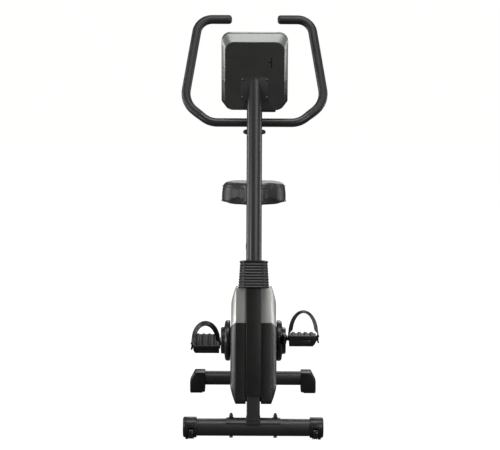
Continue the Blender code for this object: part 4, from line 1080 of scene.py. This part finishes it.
def make_height_knob():
    """Fluted knob on the back of the seat tube that draws the height pin."""
    profile = [(0.0256, 0.0), (0.0256, 0.0080), (0.0380, 0.0080), (0.0385, 0.0170), (0.0400, 0.0186),
               (0.0440, 0.0190), (0.0600, 0.0172), (0.0630, 0.0155), (0.0640, 0.0120), (0.0640, 0.0)]
    knob = spun(profile, 72)
    grooves = []
    for step in range(12):
        turn = 2 * pi * step / 12
        grooves.append(rod((0.041, 0.0205 * cos(turn), 0.0205 * sin(turn)),
                           (0.066, 0.0195 * cos(turn), 0.0195 * sin(turn)), 0.0024, 12))
    cut(knob, *grooves)
    aim = Vector((1, 0, 0)).rotation_difference(SEAT_REAR).to_matrix().to_4x4()
    placed(knob, Matrix.Translation(on_seat_tube(SEAT_TUBE_LENGTH - 0.055)) @ aim)
    show(knob, "height_knob", "black", "height_pin", ("seat_height_pin",), 36)


# ---- mast, bars and console ---------------------------------------------


def console_box(width, depth, height, x, y, z):
    return placed(box((width, depth, height), (x, y, z)), console_matrix())


def make_mast():
    tube = rod(on_post(0.457), on_post(1.30), MAST_RADIUS, 128)
    cut(tube, console_box(0.6, 0.4, 0.6, 0, 0.2015, 0))
    cut(tube, crossbar(BAR_CENTRE, 0.1, BAR_RADIUS + PLAY))
    cut(tube, rod(on_post(0.44), on_post(1.075), MAST_RADIUS - 0.002, 96))
    painted(tube, "mast_tube", ("mast",))
    plate = box((0.097, 0.0024, 0.084), (0, -0.0009, -0.060))
    softened(plate, 0.0007, 2)
    show(placed(plate, console_matrix()), "console_plate", "back", "frame")
    seat = box((0.042, 0.040, 0.060), (0, BAR_CENTRE.y - 0.0209, BAR_CENTRE.z - 0.014))
    cut(seat, crossbar(BAR_CENTRE, 0.1, BAR_RADIUS + PLAY))
    cut(seat, rod(on_post(0.9), on_post(1.2), MAST_RADIUS - 0.001, 64))
    softened(seat, 0.0012, 2, 50)
    painted(seat, "bar_seat")


def make_clamp():
    y = BAR_CENTRE.y
    z = BAR_CENTRE.z
    cap = rounded([(y + 0.0008, z - 0.044), (y + 0.0198, z - 0.044), (y + 0.0198, z + 0.016),
                   (y + 0.0008, z + 0.016)], [0, 0.007, 0.012, 0], 6)
    clamp = prism(cap, -0.021, 0.021)
    cut(clamp, crossbar(BAR_CENTRE, 0.1, BAR_RADIUS + PLAY))
    level = z - 0.0355
    cut(clamp, rod((0, y - 0.05, level), (0, y + 0.05, level), 0.0045, 32))
    softened(clamp, 0.0012, 2, 45)
    show(clamp, "clamp_cap", "black", "frame", ("handlebar_clamp",))
    knob = rod((0, y + 0.0205, level), (0, y + 0.050, level), 0.0120, 64)
    for side in (-1, 1):
        lobe = [(-0.004, 0.0), (-0.004, 0.0110), (0.012, 0.0106), (0.024, 0.0098), (0.031, 0.0086),
                (0.0365, 0.0066), (0.0398, 0.0036), (0.0408, 0.0)]
        arm = placed(spun([(side * x, radius) for x, radius in lobe], 48),
                     Matrix.Translation((0, y + 0.036, level)))
        join(knob, arm)
    softened(knob, 0.0016, 3, 45)
    show(knob, "two_lobe_knob", "black", "knob", ("clamp_knob",), 45)
    stem = rod((0, y + 0.0009, level), (0, y + 0.022, level), 0.0040, 32)
    show(stem, "knob_stem", "steel", "knob")


def bar_point(across, up):
    return Vector((across, BAR_CENTRE.y + up * sin(BAR_TILT), BAR_CENTRE.z + up * cos(BAR_TILT)))


def bar_path(steps=14):
    corners = [(0.0, 0.0), (0.158, 0.0), (0.2495, 0.0735), (0.2000, 0.3880), (0.0830, 0.3880)]
    flat = rounded(corners, [0, 0.078, 0.085, 0.056, 0], steps, closed=False)
    fine = []
    for first, second in zip(flat, flat[1:]):
        pieces = max(1, int((Vector(second) - Vector(first)).length / 0.012))
        fine += [tuple(Vector(first).lerp(Vector(second), k / pieces)) for k in range(pieces)]
    return fine + [flat[-1]]


def make_bars():
    half = bar_path()
    whole = [(-x, up) for x, up in reversed(half[1:])] + half
    inner = [(x, up) for x, up in whole if not (up > 0.30 and abs(x) < 0.15)]
    bar = sweep([bar_point(x, up) for x, up in inner], [BAR_RADIUS] * len(inner), 48)
    show(bar, "handlebar_tube", "bar", "bars", ("handlebar",), 60)
    for side, label in ((1, "left"), (-1, "right")):
        path = [bar_point(side * x, up) for x, up in half]
        start = next(index for index, point in enumerate(path) if abs(point.x) > 0.185)
        route = path[start:-1]
        radii = [GRIP_RADIUS] * len(route)
        radii[0] = BAR_RADIUS + 0.0002
        heading = (route[-1] - route[-2]).normalized()
        tip = path[-1]
        for step in range(1, 10):
            turn = pi / 2 * step / 9
            route.append(tip + heading * (0.0105 * sin(turn) - 0.0090))
            radii.append(GRIP_RADIUS - 0.0125 * (1 - cos(turn)))
        grip = sweep(route, radii, 48)
        show(grip, f"grip_sleeve_{label}", "grip", "bars", (f"grip_{label}",), 50)


def console_ring(shrink, top_drop, depth, squeeze=1.0, steps=8):
    w = CONSOLE_HALF_WIDTH - shrink
    h = CONSOLE_HALF_HEIGHT
    top = h - top_drop
    low = -h
    corners = [(-w + 0.021, low), (w - 0.021, low), (w, low + 0.028), (w, top), (-w, top), (-w, low + 0.028)]
    ring = rounded(corners, [0.010, 0.010, 0.010, 0.030, 0.030, 0.010], steps)
    return [(x * squeeze, depth, z * squeeze) for x, z in ring]


def console_loft(*rows):
    """A solid through console rings, one for each (shrink, top drop, depth, squeeze) row."""
    return loft([console_ring(*row) for row in rows])


def make_console():
    """Housing with a wide upper bevel, flat back cover, display, overlay, keys and lip."""
    place = console_matrix()
    shell = console_loft((0.0120, 0.0270, 0.0), (0.0010, 0.0030, 0.0205), (0.0003, 0.0008, 0.0225),
                         (0.0, 0.0, 0.0240), (0.0, 0.0, 0.0460), (0.0, 0.0, 0.0485, 0.998),
                         (0.0, 0.0, 0.0525, 0.985), (0.0, 0.0, 0.0550, 0.965),
                         (0.0, 0.0, CONSOLE_DEPTH, 0.945))
    cut(shell, console_loft((0.0150, 0.0300, -0.01, 0.985), (0.0150, 0.0300, 0.004, 0.985),
                            (0.004, 0.006, 0.026, 0.975), (0.004, 0.006, 0.0515, 0.935)))
    cut(shell, box((0.152, 0.05, 0.092), (0, CONSOLE_DEPTH, DISPLAY_Z)))
    for x, _ in KEYS:
        cut(shell, rod((x, 0.03, KEY_Z), (x, 0.08, KEY_Z), 0.0106, 48))
    chin = twin_of(shell)
    cut(chin, box((0.4, 0.3, 0.3), (0, 0, CONSOLE_SEAM + 0.1504)))
    cut(shell, box((0.4, 0.3, 0.3), (0, 0, CONSOLE_SEAM - 0.1504)))
    front = twin_of(shell)
    cut(front, box((0.4, 0.3, 0.6), (0, 0.0213 - 0.15, 0)))
    cut(shell, box((0.4, 0.3, 0.6), (0, 0.0216 + 0.15, 0)))
    for piece, name, finish, nodes in ((shell, "console_bezel", "bezel", ("console_housing",)),
                                       (front, "console_front", "front", ()),
                                       (chin, "console_chin", "back", ())):
        softened(piece, 0.0006, 2, 60)
        show(placed(piece, place), name, finish, "frame", nodes, 28)
    lip = softened(box((0.060, 0.020, 0.018), (0.045, 0.035, -CONSOLE_HALF_HEIGHT - 0.0045)), 0.0035, 4)
    show(placed(lip, place), "console_lip", "back", "frame")
    back = console_loft((0.0138, 0.0290, -0.0006), (0.0130, 0.0280, 0.0004), (0.0130, 0.0280, 0.0030))
    cut(back, box((0.0030, 0.02, 0.0360), (0.0590, 0, 0.0330)))
    cut(back, rod((0.052, -0.01, 0.036), (0.052, 0.01, 0.036), 0.0050, 3))
    show(placed(back, place), "back_panel", "back", "frame", ("console_back_cover",))
    for x in (-0.043, 0.043):
        for z, level in ((-0.0255, "upper"), (-0.0880, "lower")):
            make_console_screw(x, z, f"{level}_{'left' if x > 0 else 'right'}", place)
    make_display(place)


def make_console_screw(x, z, label, place):
    profile = [(-0.0034, 0.0), (-0.0034, 0.0043), (-0.0042, 0.0042), (-0.0052, 0.0034), (-0.0058, 0.0018),
               (-0.0059, 0.0)]
    head = placed(spun(profile, 40), Matrix.Rotation(radians(90), 4, "Z"))
    placed(head, Matrix.Translation((x, 0, z)))
    for turn in (35, 125):
        groove = placed(box((0.0040, 0.0022, 0.0008), (0, 0, 0)), Matrix.Rotation(radians(turn), 4, "Y"))
        cut(head, placed(groove, Matrix.Translation((x, -0.0058, z))))
    show(placed(head, place), f"screw_head_{label}", "steel", "frame",
         (f"console_screw_{label}",))


SEGMENTS = {"0": "abcdef", "1": "bc", "2": "abged", "3": "abgcd", "4": "fgbc", "5": "afgcd", "6": "afgedc",
            "7": "abc", "8": "abcdefg", "9": "abcdfg"}


def digit(text, x, z, size):
    """Seven-segment figure made of thin bars, in console coordinates seen by the rider."""
    half = size * 0.28
    spots = {"a": (0, size / 2, 1), "g": (0, 0, 1), "d": (0, -size / 2, 1), "f": (half, size / 4, 0),
             "b": (-half, size / 4, 0), "e": (half, -size / 4, 0), "c": (-half, -size / 4, 0)}
    bars = []
    for segment in SEGMENTS[text]:
        dx, dz, flat = spots[segment]
        extent = (size * 0.44, 0.0004, size * 0.10) if flat else (size * 0.10, 0.0004, size * 0.38)
        bars.append(box(extent, (x + dx, CONSOLE_DEPTH - 0.00005, z + dz)))
    return bars


def merged(pieces):
    """One object from several separate small solids."""
    shape = bmesh.new()
    for piece in pieces:
        shape.from_mesh(piece.data)
        bpy.data.objects.remove(piece, do_unlink=True)
    mesh = bpy.data.meshes.new("merged")
    shape.to_mesh(mesh)
    shape.free()
    return link("merged", mesh)


def make_display(place):
    lens = softened(box((0.1514, 0.0035, 0.0914), (0, CONSOLE_DEPTH - 0.0020, DISPLAY_Z)), 0.0008, 3)
    show(placed(lens, place), "display_glass", "glass", "frame", ("display_lens",))
    marks = []
    for text, z, size in (("1234", 0.062, 0.018), ("0056", 0.034, 0.013), ("0780", 0.012, 0.013)):
        for index, figure in enumerate(text):
            marks += digit(figure, 0.030 - index * size * 0.95, z, size)
    for index in range(10):
        height = 0.006 + 0.018 * abs(sin(index * 0.7 + 0.4))
        spot = (-0.034 - index * 0.0038, CONSOLE_DEPTH - 0.00005, 0.014 + height / 2)
        marks.append(box((0.0030, 0.0004, height), spot))
    show(placed(merged(marks), place), "display_marks", "print", "frame")
    dome = [(CONSOLE_DEPTH - 0.016, 0.0), (CONSOLE_DEPTH - 0.016, 0.0100), (CONSOLE_DEPTH, 0.0100),
            (CONSOLE_DEPTH + 0.0010, 0.0094), (CONSOLE_DEPTH + 0.0015, 0.0080),
            (CONSOLE_DEPTH + 0.0013, 0.0)]
    for x, label in KEYS:
        key = placed(spun(dome, 64), Matrix.Translation((x, 0, KEY_Z)) @ Matrix.Rotation(radians(90), 4, "Z"))
        show(placed(key, place), f"key_{label}", "button", f"{label}_key",
             (f"button_{label}",))
        sign = key_sign(label, x)
        show(placed(sign, place), f"key_sign_{label}", "void", f"{label}_key")


def key_sign(label, x):
    """Raised sign on a key: a triangle, or a ring of four dots."""
    low = CONSOLE_DEPTH + 0.001
    high = CONSOLE_DEPTH + 0.0018
    if label == "enter":
        dots = []
        for step in range(4):
            across = x + 0.003 * cos(step * pi / 2)
            up = KEY_Z + 0.003 * sin(step * pi / 2)
            dots.append(rod((across, low, up), (across, high, up), 0.0010, 16))
        return merged(dots)
    tip = 0.0042 if label == "up" else -0.0042
    ring = [(x + 0.0040, KEY_Z - tip / 2), (x, KEY_Z + tip), (x - 0.0040, KEY_Z - tip / 2)]
    return loft([[(across, y, up) for across, up in ring] for y in (low, high)])


def dress_inner_nodes():
    """Inner drive parts keep their solids and get their finishes."""
    finishes = {"iron": ("flywheel",), "zinc": ("brake_magnet_bracket",),
                "steel": ("flywheel_axle", "crank_axle", "crank_bearing_left", "crank_bearing_right"),
                "black": ("tension_servo", "drive_pulley", "power_inlet"), "rubber": ("drive_belt",),
                "board": ("console_board",)}
    for finish, nodes in finishes.items():
        for node in nodes:
            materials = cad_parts[node].data.materials
            materials.clear()
            materials.append(MATERIALS[finish])


# ---- build --------------------------------------------------------------

MATERIALS = make_materials()
make_stage()
make_frame()
make_stabilizers()
make_shroud()
make_post_cover()
make_bellows()
make_saddle()
make_seat_post()
make_height_knob()
make_mast()
make_clamp()
make_bars()
make_console()
for side, label in ((1, "left"), (-1, "right")):
    make_front_cap(side, label)
    make_wheel(side, label)
    make_rear_foot(side, label)
    make_bolt(side, label)
    make_crank(side, label)
    make_pedal(side, label)
dress_inner_nodes()
